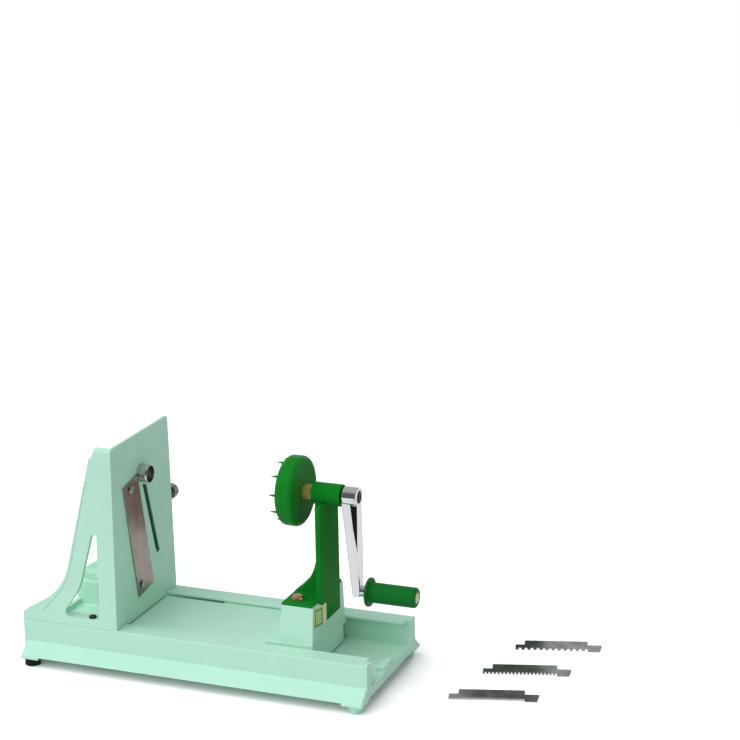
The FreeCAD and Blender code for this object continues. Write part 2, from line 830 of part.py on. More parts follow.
def dome_screw(label, length):
    """A domed screw: its head stands out from 0 towards +X, its shank runs to -X."""
    return turned(label, [
        (f"-({length})", "0"),
        (f"-({length})", "screw_radius"),
        ("0", "screw_radius"),
        ("0", "dome_head_radius"),
        ("dome_head_height", "dome_head_radius", "dome_round"),
        ("dome_head_height", "0"),
    ])


def cap_screw(label, length):
    """A round cap screw: its head stands out from 0 towards +X, its shank runs to -X."""
    body = turned(label, [
        (f"-({length})", "0"),
        (f"-({length})", "screw_radius"),
        ("0", "screw_radius"),
        ("0", "cap_head_radius"),
        ("cap_head_height", "cap_head_radius", "edge_round / 2"),
        ("cap_head_height", "0"),
    ])
    low = ("-slot_width / 2", "-cap_head_radius")
    high = ("slot_width / 2", "cap_head_radius")
    pocket(body, rectangle(body, "driver", "YZ_Plane", low, high, "cap_head_height"), "slot_depth")
    return body


def make_tower_screws():
    screws = []
    for side, word in (("-", "near"), ("", "far")):
        across = f"{side}wall_screw_y"
        sinker = pan_screw(f"sill_screw_{word}", "sill_screw_length")
        screws.append(place(sinker, "sill_screw_x", across, "rail_top + window_foot", **UPWARDS))
        riser = pan_screw(f"under_screw_{word}", "floor_depth + floor_thick + under_screw_grip")
        below = "channel_floor - floor_thick"
        screws.append(place(riser, "under_screw_x", across, below, **DOWNWARDS))
    return group("tower_screws", screws)


def make_blade_screws():
    screws = []
    for word, (across, up, _) in zip(("high", "low"), BLADE_HOLES):
        screw = pan_screw(f"blade_screw_{word}", "blade_screw_length")
        screws.append(place(screw, "tower_front + blade_thick", across, up))
    return group("blade_screws", screws)


def make_coring_tube():
    tube = turned("coring_tube", [
        ("tower_front - tube_behind", "tube_radius - tube_wall"),
        ("tower_front - tube_behind", "tube_radius"),
        ("tower_front + tube_proud - tube_bevel", "tube_radius"),
        ("tower_front + tube_proud", "tube_radius - tube_wall + tube_lip"),
        ("tower_front + tube_proud", "tube_radius - tube_wall"),
    ])
    collar = turned("tube_collar", [
        ("panel_back - collar_length", "tube_radius + seat_fit"),
        ("panel_back - collar_length", "collar_radius", "edge_round / 2"),
        ("panel_back", "collar_radius"),
        ("panel_back", "tube_radius + seat_fit"),
    ])
    return [place(tube, z="shaft_height"), place(collar, z="shaft_height")]


def make_clamp():
    """The insert in the far wall, the thumb screw in it, and the shoe on the screw's tip."""
    knob_foot = "wall_at_thumb + knob_gap"
    tip = "shoe_place + shoe_thick - shoe_socket"
    insert = turned("clamp_insert", [
        ("wall_at_thumb - insert_inset - insert_length", "thumb_screw_radius + running_fit"),
        ("wall_at_thumb - insert_inset - insert_length", "insert_radius"),
        ("wall_at_thumb - insert_inset", "insert_radius"),
        ("wall_at_thumb - insert_inset", "thumb_screw_radius + running_fit"),
    ])
    screw = turned("thumb_screw", [
        (tip, "0"),
        (tip, "thumb_screw_radius"),
        (knob_foot + " - knob_collar", "thumb_screw_radius"),
        (knob_foot + " - knob_collar", "knob_collar_radius"),
        (knob_foot, "knob_collar_radius"),
        (knob_foot, "knob_radius", "edge_round"),
        (knob_foot + " + knob_width", "knob_radius", "edge_round"),
        (knob_foot + " + knob_width", "0"),
    ])
    flute = circles(screw, "flute", "YZ_Plane", [("0", "knob_radius", "flute_radius")], knob_foot)
    cut = pocket(screw, flute, "knob_width", forwards=True)
    flutes = screw.newObject("PartDesign::PolarPattern", "thumb_screw_flutes")
    flutes.Originals = [cut]
    flutes.Axis = (screw.Group[0], ["H_Axis"])
    flutes.Angle = 360.0
    tie(flutes, Occurrences="knob_flutes")
    screw.Tip = flutes
    doc.recompute()

    shoe = new_body("clamp_pad")
    low = ("panel_back - shoe_depth", "-shoe_height / 2")
    high = ("panel_back - slide_fit", "shoe_height / 2")
    sketch = rectangle(shoe, "block", "XZ_Plane", low, high, "-shoe_place")
    pad(shoe, sketch, "shoe_thick", backwards=True)
    socket = [("thumb_x", "0", "thumb_screw_radius + running_fit")]
    sketch = circles(shoe, "socket", "XZ_Plane", socket, "-(shoe_place + shoe_thick)")
    pocket(shoe, sketch, "shoe_socket", forwards=True)
    place(shoe, z="thumb_z")
    return [
        place(insert, "thumb_x", "0", "thumb_z", **ALONG_Y),
        place(screw, "thumb_x", "0", "thumb_z", **ALONG_Y),
        shoe,
    ]


# ---------------------------------------------------------------- carriage

def make_carriage():
    body = new_body("carriage")
    low = ("block_face - deck_length", "-deck_width / 2")
    high = ("block_face", "deck_width / 2")
    pad(body, rectangle(body, "deck", "XY_Plane", low, high, "deck_under"), "deck_thick")
    low = ("block_face - runner_length", "-runner_width / 2")
    high = ("block_face - lip_thick", "runner_width / 2")
    pad(body, rectangle(body, "runners", "XY_Plane", low, high, "deck_under"), "deck_thick")
    for side, word in (("-", "near"), ("", "far")):
        low = ("block_face - runner_length", f"{side}(runner_width / 2 - skid_width)")
        high = ("block_face - lip_thick", f"{side}runner_width / 2")
        sketch = rectangle(body, f"skid_{word}", "XY_Plane", low, high, "channel_floor + skid_fit")
        pad(body, sketch, "floor_depth - deck_drop - deck_thick - skid_fit")

    # Block: drafted sides above the deck, a plinth round its foot and an apron below
    low = ("block_face - block_foot_length", "-block_foot_width / 2")
    high = ("block_face", "block_foot_width / 2")
    foot = rectangle(body, "block_foot", "XY_Plane", low, high, "deck_top")
    low = ("block_face - block_top_length", "-block_top_width / 2")
    high = ("block_face", "block_top_width / 2")
    head = rectangle(body, "block_head", "XY_Plane", low, high, "block_top")
    loft = body.newObject("PartDesign::AdditiveLoft", "carriage_block")
    loft.Profile = foot
    loft.Sections = [head]
    loft.Ruled = True
    doc.recompute()
    low = ("block_face - plinth_length", "-block_foot_width / 2")
    high = ("block_face", "block_foot_width / 2")
    pad(body, rectangle(body, "plinth", "XY_Plane", low, high, "deck_top"), "plinth_height")
    low = ("block_face - block_foot_length", "-apron_width / 2")
    high = ("block_face", "apron_width / 2")
    sketch = rectangle(body, "apron", "XY_Plane", low, high, "channel_floor + apron_clear")
    pad(body, sketch, "floor_depth - deck_drop - apron_clear")

    # The block is hollow from below, in two halves either side of a rib
    for side, word in (("-", "near"), ("", "far")):
        low = ("block_face - block_top_length + block_wall", f"{side}block_wall / 2")
        high = ("block_face - 2 * block_wall", f"{side}(apron_width / 2 - 2 * block_wall)")
        sketch = rectangle(body, f"hollow_{word}", "XY_Plane", low, high, "channel_floor + apron_clear")
        pocket(body, sketch, "block_top - block_solid - channel_floor - apron_clear", forwards=True)

    # Ramp beside the post's tongue, so that the badge runs from the block's corner on to the post
    ramp = [
        ("block_face - edge_round", "-badge_side"),
        ("block_face", "-badge_side"),
        ("post_face", "-post_width / 2 - slide_fit"),
        ("block_face - edge_round", "-post_width / 2 - slide_fit"),
    ]
    sketch = outline(body, "badge_ramp", "XY_Plane", ramp, "badge_low - edge_round / 2")
    pad(body, sketch, "badge_height + edge_round")

    # Seat for the tongue in the block's face, and holes for the post's screws
    low = ("-post_width / 2 - slide_fit / 2", "block_top - tongue_reach - slide_fit / 2")
    high = ("post_width / 2 + slide_fit / 2", "block_top")
    sketch = rectangle(body, "tongue_seat", "YZ_Plane", low, high, "block_face")
    pocket(body, sketch, "tongue_thick - tongue_proud")
    holes = [("post_screw_x", f"{side}post_screw_span / 2", "screw_radius + seat_fit") for side in ("-", "")]
    pocket(body, circles(body, "post_holes", "XY_Plane", holes, "block_top"), "post_screw_length")
    return body


def make_crank_post():
    body = new_body("crank_post")
    shoulder = "shaft_height - post_shoulder"
    plate = [
        ("-post_width / 2", "block_top - tongue_reach"),
        ("post_width / 2", "block_top - tongue_reach"),
        ("post_width / 2", shoulder),
        ("post_neck_width / 2", "shaft_height - post_neck_drop"),
        ("-post_neck_width / 2", "shaft_height - post_neck_drop"),
        ("-post_width / 2", shoulder),
    ]
    pad(body, outline(body, "plate", "YZ_Plane", plate, "tongue_back"), "tongue_thick")
    boss = circles(body, "boss", "YZ_Plane", [("0", "shaft_height", "boss_radius")], "boss_back")
    pad(body, boss, "boss_ahead + boss_behind")

    # Web behind the plate: upright at the top, swept back towards the foot
    low = ("web_back", "block_top")
    high = ("tongue_back", "shaft_height")
    pad(body, rectangle(body, "web", "XZ_Plane", low, high, "-web_thick / 2"), "web_thick")
    low = ("tongue_back - web_foot_depth", "block_top")
    high = ("tongue_back", "shaft_height - web_sweep_drop")
    pad(body, rectangle(body, "heel", "XZ_Plane", low, high, "-web_thick / 2"), "web_thick")
    sweep = [("web_back - web_sweep", "shaft_height - web_sweep_drop", "web_sweep")]
    sketch = circles(body, "sweep", "XZ_Plane", sweep, "-block_top_width")
    pocket(body, sketch, "2 * block_top_width", forwards=True)

    # Foot plate over the whole of the block's top
    low = ("block_face - block_top_length", "-block_top_width / 2")
    high = ("tongue_back + edge_round", "block_top_width / 2")
    pad(body, rectangle(body, "foot", "XY_Plane", low, high, "block_top"), "foot_thick")

    bore = [("0", "shaft_height", "bush_radius + seat_fit")]
    sketch = circles(body, "bore", "YZ_Plane", bore, "boss_back")
    pocket(body, sketch, "boss_ahead + boss_behind", forwards=True)
    holes = [("post_screw_x", f"{side}post_screw_span / 2", "screw_radius + seat_fit") for side in ("-", "")]
    sketch = circles(body, "foot_holes", "XY_Plane", holes, "block_top")
    pocket(body, sketch, "foot_thick", forwards=True)

    # Upright edges of the plate, and the foot's two back corners
    half = number("post_width") / 2 - SLACK
    face = number("post_face") - SLACK

    def on_plate(edge):
        centre = centre_of(edge)
        return spans(edge, 2) and abs(centre.y) > half and centre.x > face

    def on_foot(edge):
        centre = centre_of(edge)
        return spans(edge, 2) and abs(centre.y) > half and centre.x < number("post_screw_x")

    round_edges(body, "edge_round", on_plate)
    round_edges(body, "foot_round", on_foot)
    return body


def make_post_screws():
    screws = []
    for side, word in (("-", "near"), ("", "far")):
        screw = dome_screw(f"post_screw_{word}", "post_screw_length")
        screws.append(place(screw, "post_screw_x", f"{side}post_screw_span / 2", "foot_top", **UPWARDS))
    return group("post_screws", screws)


def make_badge_plate():
    """A thin plate, bent where the ramp meets the post."""
    body = new_body("badge_plate")
    bend = "-post_width / 2 - slide_fit"
    section = [
        ("block_face", "-badge_side"),
        ("post_face", bend),
        ("post_face", f"{bend} + badge_reach"),
        ("post_face + badge_thick", f"{bend} + badge_reach"),
        ("post_face + badge_thick", bend),
        ("block_face + badge_thick", "-badge_side"),
    ]
    pad(body, outline(body, "section", "XY_Plane", section, "badge_low"), "badge_height")
    return body


def make_bushes():
    bushes = []
    for label, start in (("rear_bush", "boss_back"), ("front_bush", "boss_front - bush_length")):
        bush = turned(label, [
            (start, "shaft_radius + running_fit"),
            (start, "bush_radius"),
            (f"{start} + bush_length", "bush_radius"),
            (f"{start} + bush_length", "shaft_radius + running_fit"),
        ])
        bushes.append(place(bush, z="shaft_height"))
    return bushes


# ---------------------------------------------------------------- crank

def make_crank_shaft():
    """A round shaft, drilled at each end for the screws that hold the wheel and the arm."""
    start = "wheel_front + wheel_pocket"
    end = "hub_front - hub_pocket"
    drilled = "screw_radius + seat_fit"
    depth = "end_screw_length + slide_fit"
    shaft = turned("crank_shaft", [
        (f"{start} + {depth}", "0"),
        (f"{start} + {depth}", drilled),
        (start, drilled),
        (start, "shaft_radius"),
        (end, "shaft_radius"),
        (end, drilled),
        (f"{end} - ({depth})", drilled),
        (f"{end} - ({depth})", "0"),
    ])
    return place(shaft, z="shaft_height")


def make_spiked_wheel():
    bore = "shaft_radius + seat_fit"
    wheel = turned("spiked_wheel", [
        ("wheel_front + wheel_pocket", bore),
        ("wheel_front + wheel_pocket", "wheel_pocket_radius"),
        ("wheel_front", "wheel_pocket_radius"),
        ("wheel_front", "wheel_radius", "wheel_front_round"),
        ("wheel_back", "wheel_radius", "wheel_back_round"),
        ("wheel_back", bore),
    ])
    # One spike, spun about a line that runs through it, then repeated round the wheel
    sketch = new_sketch(wheel, "spike", "XZ_Plane", "0")
    add_outline(sketch, [
        ("wheel_front + edge_round", "spike_circle"),
        ("wheel_front - spike_length", "spike_circle"),
        ("wheel_front - spike_length", "spike_circle + spike_tip_radius"),
        ("wheel_front", "spike_circle + spike_radius"),
        ("wheel_front + edge_round", "spike_circle + spike_radius"),
    ])
    ends = [FreeCAD.Vector(number(place_on), number("spike_circle"), 0)
            for place_on in ("wheel_front - spike_length", "wheel_front + edge_round")]
    line = sketch.addGeometry(Part.LineSegment(*ends), True)
    sketch.addConstraint(Sketcher.Constraint("Coincident", line, 1, 1, 1))
    sketch.addConstraint(Sketcher.Constraint("Coincident", line, 2, 0, 1))
    spike = wheel.newObject("PartDesign::Revolution", "spiked_wheel_spike_turn")
    spike.Profile = sketch
    spike.ReferenceAxis = (sketch, ["Axis0"])
    spike.Angle = 360.0
    doc.recompute()
    ring = wheel.newObject("PartDesign::PolarPattern", "spiked_wheel_spikes")
    ring.Originals = [spike]
    ring.Axis = (sketch, ["H_Axis"])
    ring.Angle = 360.0
    tie(ring, Occurrences="spike_count")
    wheel.Tip = ring
    doc.recompute()
    return place(wheel, z="shaft_height", axis=(1, 0, 0), angle=number("spike_phase"))


def make_lock_nut():
    body = new_body("lock_nut")
    hexagon = []
    for turn in range(0, 360, 60):
        across = f"nut_corner_radius * cos({turn} deg)"
        hexagon.append((across, f"shaft_height + nut_corner_radius * sin({turn} deg)"))
    pad(body, outline(body, "hexagon", "YZ_Plane", hexagon, "wheel_back"), "nut_length")
    bore = [("0", "shaft_height", "shaft_radius + seat_fit")]
    pocket(body, circles(body, "bore", "YZ_Plane", bore, "wheel_back"), "nut_length", forwards=True)
    return body


def make_thrust_washer():
    washer = turned("thrust_washer", [
        ("washer_back", "shaft_radius + seat_fit"),
        ("washer_back", "washer_radius"),
        ("washer_back + washer_thick", "washer_radius"),
        ("washer_back + washer_thick", "shaft_radius + seat_fit"),
    ])
    return place(washer, z="shaft_height")


def make_crank_arm():
    body = new_body("crank_arm")
    hub = circles(body, "hub", "YZ_Plane", [("0", "shaft_height", "hub_radius")], "arm_back")
    pad(body, hub, "arm_top_depth")
    low = ("arm_back", "-arm_top_width / 2")
    high = ("arm_back + arm_top_depth", "arm_top_width / 2")
    top = rectangle(body, "arm_top", "XY_Plane", low, high, "shaft_height")
    low = ("arm_foot_back", "-arm_foot_width / 2")
    high = ("arm_foot_back + arm_foot_depth", "arm_foot_width / 2")
    foot = rectangle(body, "arm_foot", "XY_Plane", low, high, "grip_axis - arm_tail")
    loft = body.newObject("PartDesign::AdditiveLoft", "crank_arm_bar")
    loft.Profile = top
    loft.Sections = [foot]
    loft.Ruled = True
    doc.recompute()
    boss = circles(body, "boss", "YZ_Plane", [("0", "grip_axis", "foot_boss_radius")], "arm_foot_back")
    pad(body, boss, "foot_boss_length")
    bore = circles(body, "bore", "YZ_Plane", [("0", "shaft_height", "shaft_radius + seat_fit")], "arm_back")
    pocket(body, bore, "arm_top_depth", forwards=True)
    seat = circles(body, "seat", "YZ_Plane", [("0", "shaft_height", "hub_pocket_radius")], "hub_front")
    pocket(body, seat, "hub_pocket")
    pin_hole = [("0", "grip_axis", "pin_radius + seat_fit")]
    sketch = circles(body, "pin_hole", "YZ_Plane", pin_hole, "arm_back")
    pocket(body, sketch, "boss_end - arm_back", forwards=True)
    return body


def make_end_screws():
    """The screws in the two ends of the shaft."""
    arm_screw = cap_screw("crank_screw", "end_screw_length")
    place(arm_screw, "hub_front - hub_pocket", "0", "shaft_height")
    wheel_screw = cap_screw("wheel_screw", "end_screw_length")
    place(wheel_screw, "wheel_front + wheel_pocket", "0", "shaft_height", axis=(0, 0, 1), angle=180.0)
    return [arm_screw, wheel_screw]


def make_grip():
    pin_bore = "pin_radius + running_fit"
    cap_bore = "cap_radius + seat_fit"
    far_end = "grip_back + grip_length"
    grip = turned("grip", [
        ("grip_back", pin_bore),
        ("grip_back", "flange_radius", "flange_round"),
        ("grip_back + flange_width", "flange_radius", "flange_round"),
        ("grip_back + flange_width", "grip_radius"),
        (far_end, "grip_radius", "grip_round"),
        (far_end, cap_bore),
        ("pin_seat", cap_bore),
        ("pin_seat", pin_bore),
    ])
    cap = turned("grip_cap", [
        (f"{far_end} - cap_thick", "0"),
        (f"{far_end} - cap_thick", "cap_radius"),
        (far_end, "cap_radius", "edge_round / 2"),
        (far_end, "0"),
    ])
    pin = turned("grip_pin", [
        ("arm_foot_back", "0"),
        ("arm_foot_back", "pin_radius"),
        ("pin_seat + slide_fit", "pin_radius"),
        ("pin_seat + slide_fit", "pin_head_radius"),
        ("pin_seat + slide_fit + pin_head_height", "pin_head_radius", "edge_round / 2"),
        ("pin_seat + slide_fit + pin_head_height", "0"),
    ])
    return [place(piece, z="grip_axis") for piece in (grip, cap, pin)]


# ---------------------------------------------------------------- loose comb blades

def make_comb(label, index, teeth):
    """A flat comb. Its own origin is the top of the near tab's outer edge; the teeth point to -Y."""
    body = new_body(label)
    low = "-comb_near_tab_width"
    end = "comb_near_tab + comb_body + comb_far_tab"
    corners = [
        ("0", low),
        ("comb_near_tab + comb_body", low),
        ("comb_near_tab + comb_body", f"{low} - comb_far_tab_drop"),
        (f"{end} - comb_far_tab_slant", f"{low} - comb_far_tab_drop"),
        (end, f"{low} - comb_far_tab_drop + comb_far_tab_width"),
        ("comb_near_tab + comb_body", f"{low} - comb_far_tab_drop + comb_far_tab_width"),
        ("comb_near_tab + comb_body", "comb_width - comb_near_tab_width"),
        ("comb_near_tab", "comb_width - comb_near_tab_width"),
        ("comb_near_tab", "0"),
        ("0", "0"),
    ]
    pad(body, outline(body, "plate", "XY_Plane", corners), "comb_thick")
    pitch = f"(comb_near_tab + comb_body) / {teeth}"
    high = (pitch, f"{low} + comb_tooth")
    gap = rectangle(body, "gap", "XY_Plane", (f"{pitch} / 2", low), high)
    cut = pocket(body, gap, "comb_thick", forwards=True)
    row = body.newObject("PartDesign::LinearPattern", f"{label}_teeth")
    row.Originals = [cut]
    row.Direction = (gap, ["H_Axis"])
    tie(row, Length=f"comb_near_tab + comb_body - {pitch}", Occurrences=teeth)
    body.Tip = row
    doc.recompute()
    x = f"comb_place + {index} * comb_spacing * sin(comb_row_angle * 1 deg)"
    y = f"comb_place_across + {index} * comb_spacing * cos(comb_row_angle * 1 deg)"
    place(body, x, y, angle=number("comb_angle"))
    tie(body, **{"Placement.Rotation.Angle": "comb_angle * 1 deg"})
    return body


def make_combs():
    kinds = ["fine", "medium", "coarse"]
    return [make_comb(f"comb_blade_{kind}", index, f"{kind}_teeth") for index, kind in enumerate(kinds)]


# ---------------------------------------------------------------- whole model

def check_model():
    """Every object is up to date, every cut removes something and every sub-part is sound."""
    for item in doc.Objects:
        if "Invalid" in item.State or "Error" in item.State:
            raise RuntimeError(f"{item.Label} failed: {item.State}")
    for body in doc.Objects:
        if body.TypeId != "PartDesign::Body":
            continue
        before = 0.0
        for feature in body.Group:
            if feature.isDerivedFrom("PartDesign::Feature"):
                if abs(feature.Shape.Volume - before) < TINY:
                    raise RuntimeError(f"{feature.Label} changes nothing")
                before = feature.Shape.Volume


sub_parts = [make_base_channel()]
sub_parts += make_feet()
sub_parts.append(make_tower_frame())
sub_parts.append(make_tower_screws())
sub_parts.append(make_slicing_blade())
sub_parts.append(make_blade_screws())
sub_parts += make_coring_tube()
sub_parts += make_clamp()
sub_parts.append(make_carriage())
sub_parts.append(make_crank_post())
sub_parts.append(make_post_screws())
sub_parts.append(make_badge_plate())
sub_parts += make_bushes()
sub_parts.append(make_crank_shaft())
sub_parts.append(make_spiked_wheel())
sub_parts.append(make_lock_nut())
sub_parts.append(make_thrust_washer())
sub_parts.append(make_crank_arm())
sub_parts += make_end_screws()
sub_parts += make_grip()
sub_parts += make_combs()

doc.recompute()
check_model()
os.makedirs("parts", exist_ok=True)
for piece in sub_parts:
    shape = piece.Shape
    if shape.isNull() or not shape.isValid():
        raise RuntimeError(f"{piece.Label} has no sound shape")
    shape.exportStep(os.path.join("parts", f"{piece.Label}.step"))
    print(f"{piece.Label}: {len(shape.Solids)} solid(s), {shape.Volume / 1000:.2f} cm3")
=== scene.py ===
import json
from math import atan2, pi, radians

import bmesh
import bpy
from mathutils import Matrix, Vector


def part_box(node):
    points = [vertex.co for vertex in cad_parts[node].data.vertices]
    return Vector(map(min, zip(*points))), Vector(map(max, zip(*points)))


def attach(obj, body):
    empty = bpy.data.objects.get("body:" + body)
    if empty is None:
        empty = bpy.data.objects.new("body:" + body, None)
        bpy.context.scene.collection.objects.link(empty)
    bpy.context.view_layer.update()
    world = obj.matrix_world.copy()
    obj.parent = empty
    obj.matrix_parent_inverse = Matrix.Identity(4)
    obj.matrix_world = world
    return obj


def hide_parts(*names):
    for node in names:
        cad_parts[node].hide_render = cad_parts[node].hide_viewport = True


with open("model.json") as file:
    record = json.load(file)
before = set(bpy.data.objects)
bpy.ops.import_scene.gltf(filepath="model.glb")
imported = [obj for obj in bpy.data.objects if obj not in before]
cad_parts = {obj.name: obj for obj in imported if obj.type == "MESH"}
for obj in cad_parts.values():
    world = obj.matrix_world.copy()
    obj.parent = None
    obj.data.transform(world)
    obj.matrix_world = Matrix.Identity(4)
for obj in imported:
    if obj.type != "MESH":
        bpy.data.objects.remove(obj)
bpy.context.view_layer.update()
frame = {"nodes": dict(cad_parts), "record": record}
nodes = frame["nodes"]
bodyOf = {node: body for body, members in frame["record"]["behaviour"]["bodies"].items() for node in members}
slotOf = {entry["node"]: entry["material_slot"] for entry in frame["record"]["subparts"]}
mm = 0.001
print("frame loaded:", len(nodes), "nodes")


def colour(red, green, blue):
    # screen values from 0 to 255, made linear
    def linear(value):
        share = value / 255
        return share / 12.92 if share < 0.04045 else ((share + 0.055) / 1.055) ** 2.4
    return (linear(red), linear(green), linear(blue), 1.0)


class Wire:
    # a node's output that takes part in Python expressions
    def __init__(self, finish, socket):
        self.finish = finish
        self.socket = socket

    def maths(self, operation, first, second):
        return self.finish.maths(operation, first, second)

    def __add__(self, other):
        return self.maths("ADD", self, other)

    def __sub__(self, other):
        return self.maths("SUBTRACT", self, other)

    def __rsub__(self, other):
        return self.maths("SUBTRACT", other, self)

    def __mul__(self, other):
        return self.maths("MULTIPLY", self, other)

    def __gt__(self, other):
        return self.maths("GREATER_THAN", self, other)

    __radd__ = __add__
    __rmul__ = __mul__


class Finish:
    # one material, built up from nodes
    def __init__(self, name, world=None):
        self.material = world or bpy.data.materials.new(name)
        self.material.use_nodes = True
        self.tree = self.material.node_tree
        self.tree.nodes.clear()

    def add(self, kind, settings=None, inputs=None, output=0):
        node = self.tree.nodes.new(kind)
        for name, value in (settings or {}).items():
            setattr(node, name, value)
        for name, value in (inputs or {}).items():
            if isinstance(value, Wire):
                self.tree.links.new(value.socket, node.inputs[name])
            else:
                node.inputs[name].default_value = value
        return Wire(self, node.outputs[output]) if node.outputs else None

    def maths(self, operation, first, second):
        return self.add("ShaderNodeMath", {"operation": operation}, {0: first, 1: second})

    def noise(self, size, detail=2.0, stretch=(1, 1, 1)):
        place = self.add("ShaderNodeTexCoord", output="Object")
        place = self.add("ShaderNodeMapping", inputs={"Vector": place, "Scale": stretch})
        return self.add("ShaderNodeTexNoise", inputs={"Vector": place, "Scale": 1 / size, "Detail": detail})

    def mix(self, share, first, second):
        inputs = {0: share, 6: first, 7: second}
        return self.add("ShaderNodeMix", {"data_type": "RGBA", "clamp_factor": True}, inputs, output=2)

    def bump(self, height, depth):
        return self.add("ShaderNodeBump", inputs={"Height": height, "Distance": depth})

    def mark(self, name):
        return self.add("ShaderNodeAttribute", {"attribute_name": name}, output="Fac")

    def surface(self, **inputs):
        named = {name.replace("_", " "): value for name, value in inputs.items()}
        shader = self.add("ShaderNodeBsdfPrincipled", inputs=named)
        self.add("ShaderNodeOutputMaterial", inputs={"Surface": shader})
        return self.material


# Moulded plastics: soft patches of tone, a fine grain, and rounded edges painted paler as a highlight and
# made shinier
plastics = {
    "mint_plastic": {
        "dark": colour(178, 225, 204), "pale": colour(186, 231, 211), "edge": colour(198, 239, 221),
        "roughness": 0.4, "gloss": 0.3, "grain": 0.5 * mm, "grainDepth": 0.01 * mm,
    },
    "green_plastic": {
        "dark": colour(14, 118, 30), "pale": colour(20, 127, 40), "edge": colour(40, 142, 58),
        "roughness": 0.34, "gloss": 0.09, "grain": 0.6 * mm, "grainDepth": 0.006 * mm,
    },
    "dark_green_plastic": {
        "dark": colour(12, 114, 30), "pale": colour(18, 123, 38), "edge": colour(40, 144, 60),
        "roughness": 0.36, "gloss": 0.022, "grain": 0.6 * mm, "grainDepth": 0.005 * mm,
    },
    "grip_plastic": {
        "dark": colour(14, 100, 36), "pale": colour(20, 108, 42), "edge": colour(36, 124, 58),
        "roughness": 0.3, "gloss": 0.08, "grain": 0.6 * mm, "grainDepth": 0.005 * mm,
    },
    "cream_plastic": {
        "dark": colour(206, 197, 160), "pale": colour(220, 212, 178), "edge": colour(232, 226, 200),
        "roughness": 0.45, "gloss": 0.4, "grain": 0.4 * mm, "grainDepth": 0.008 * mm,
    },
    "black_rubber": {
        "dark": colour(14, 14, 15), "pale": colour(26, 26, 27), "edge": colour(38, 38, 39),
        "roughness": 0.75, "gloss": 0.3, "grain": 0.35 * mm, "grainDepth": 0.03 * mm,
    },
}
moulding = {
    "patch": 28 * mm, "sink": 14 * mm, "speck": 6, "patchTone": 1.4, "speckTone": 0.4, "edgeHighlightTone": 0.45,
    "patchRough": 0.12, "speckRough": 0.08, "edgeRough": 0.06, "speckHeight": 1.2, "sinkHeight": 4,
}
# painted shade for the slit's walls and the gap under the panel: the near colour at the panel's face, the far
# colour deeper behind it
deepShade = {"near": colour(74, 138, 104), "far": colour(16, 62, 36), "from": -69.9 * mm, "to": -71.6 * mm}


def mouldedPlastic(name, look):
    finish = Finish(name)
    share = moulding
    patch = finish.noise(share["patch"], 3)
    grain = finish.noise(look["grain"], 2)
    speck = finish.noise(share["speck"] * look["grain"], 3)
    tone = 0.5 + (patch - 0.5) * share["patchTone"] + (speck - 0.5) * share["speckTone"]
    base = finish.mix(tone, look["dark"], look["pale"])
    # painted highlight: rounded edges are mixed towards the paler edge colour
    base = finish.mix(finish.mark("edge") * share["edgeHighlightTone"], base, look["edge"])
    if name == "mint_plastic":
        # painted shade: the slit's walls are coloured as if in shade, darker deeper behind the panel's face
        place = finish.add("ShaderNodeTexCoord", output="Object")
        across = finish.add("ShaderNodeSeparateXYZ", inputs={0: place}, output="X")
        deep = finish.add("ShaderNodeMapRange", inputs={
            "Value": across, "From Min": deepShade["from"], "From Max": deepShade["to"]})
        base = finish.mix(finish.mark("slit"), base, finish.mix(deep, deepShade["near"], deepShade["far"]))
    roughness = look["roughness"] + (patch - 0.5) * share["patchRough"] + (speck - 0.5) * share["speckRough"]
    roughness = roughness - finish.mark("edge") * share["edgeRough"]
    # sink marks are far wider than the grain
    height = grain + speck * share["speckHeight"] + finish.noise(share["sink"], 1) * share["sinkHeight"]
    return finish.surface(
        Base_Color=base, Roughness=roughness, Specular_IOR_Level=look["gloss"],
        Normal=finish.bump(height, look["grainDepth"]))


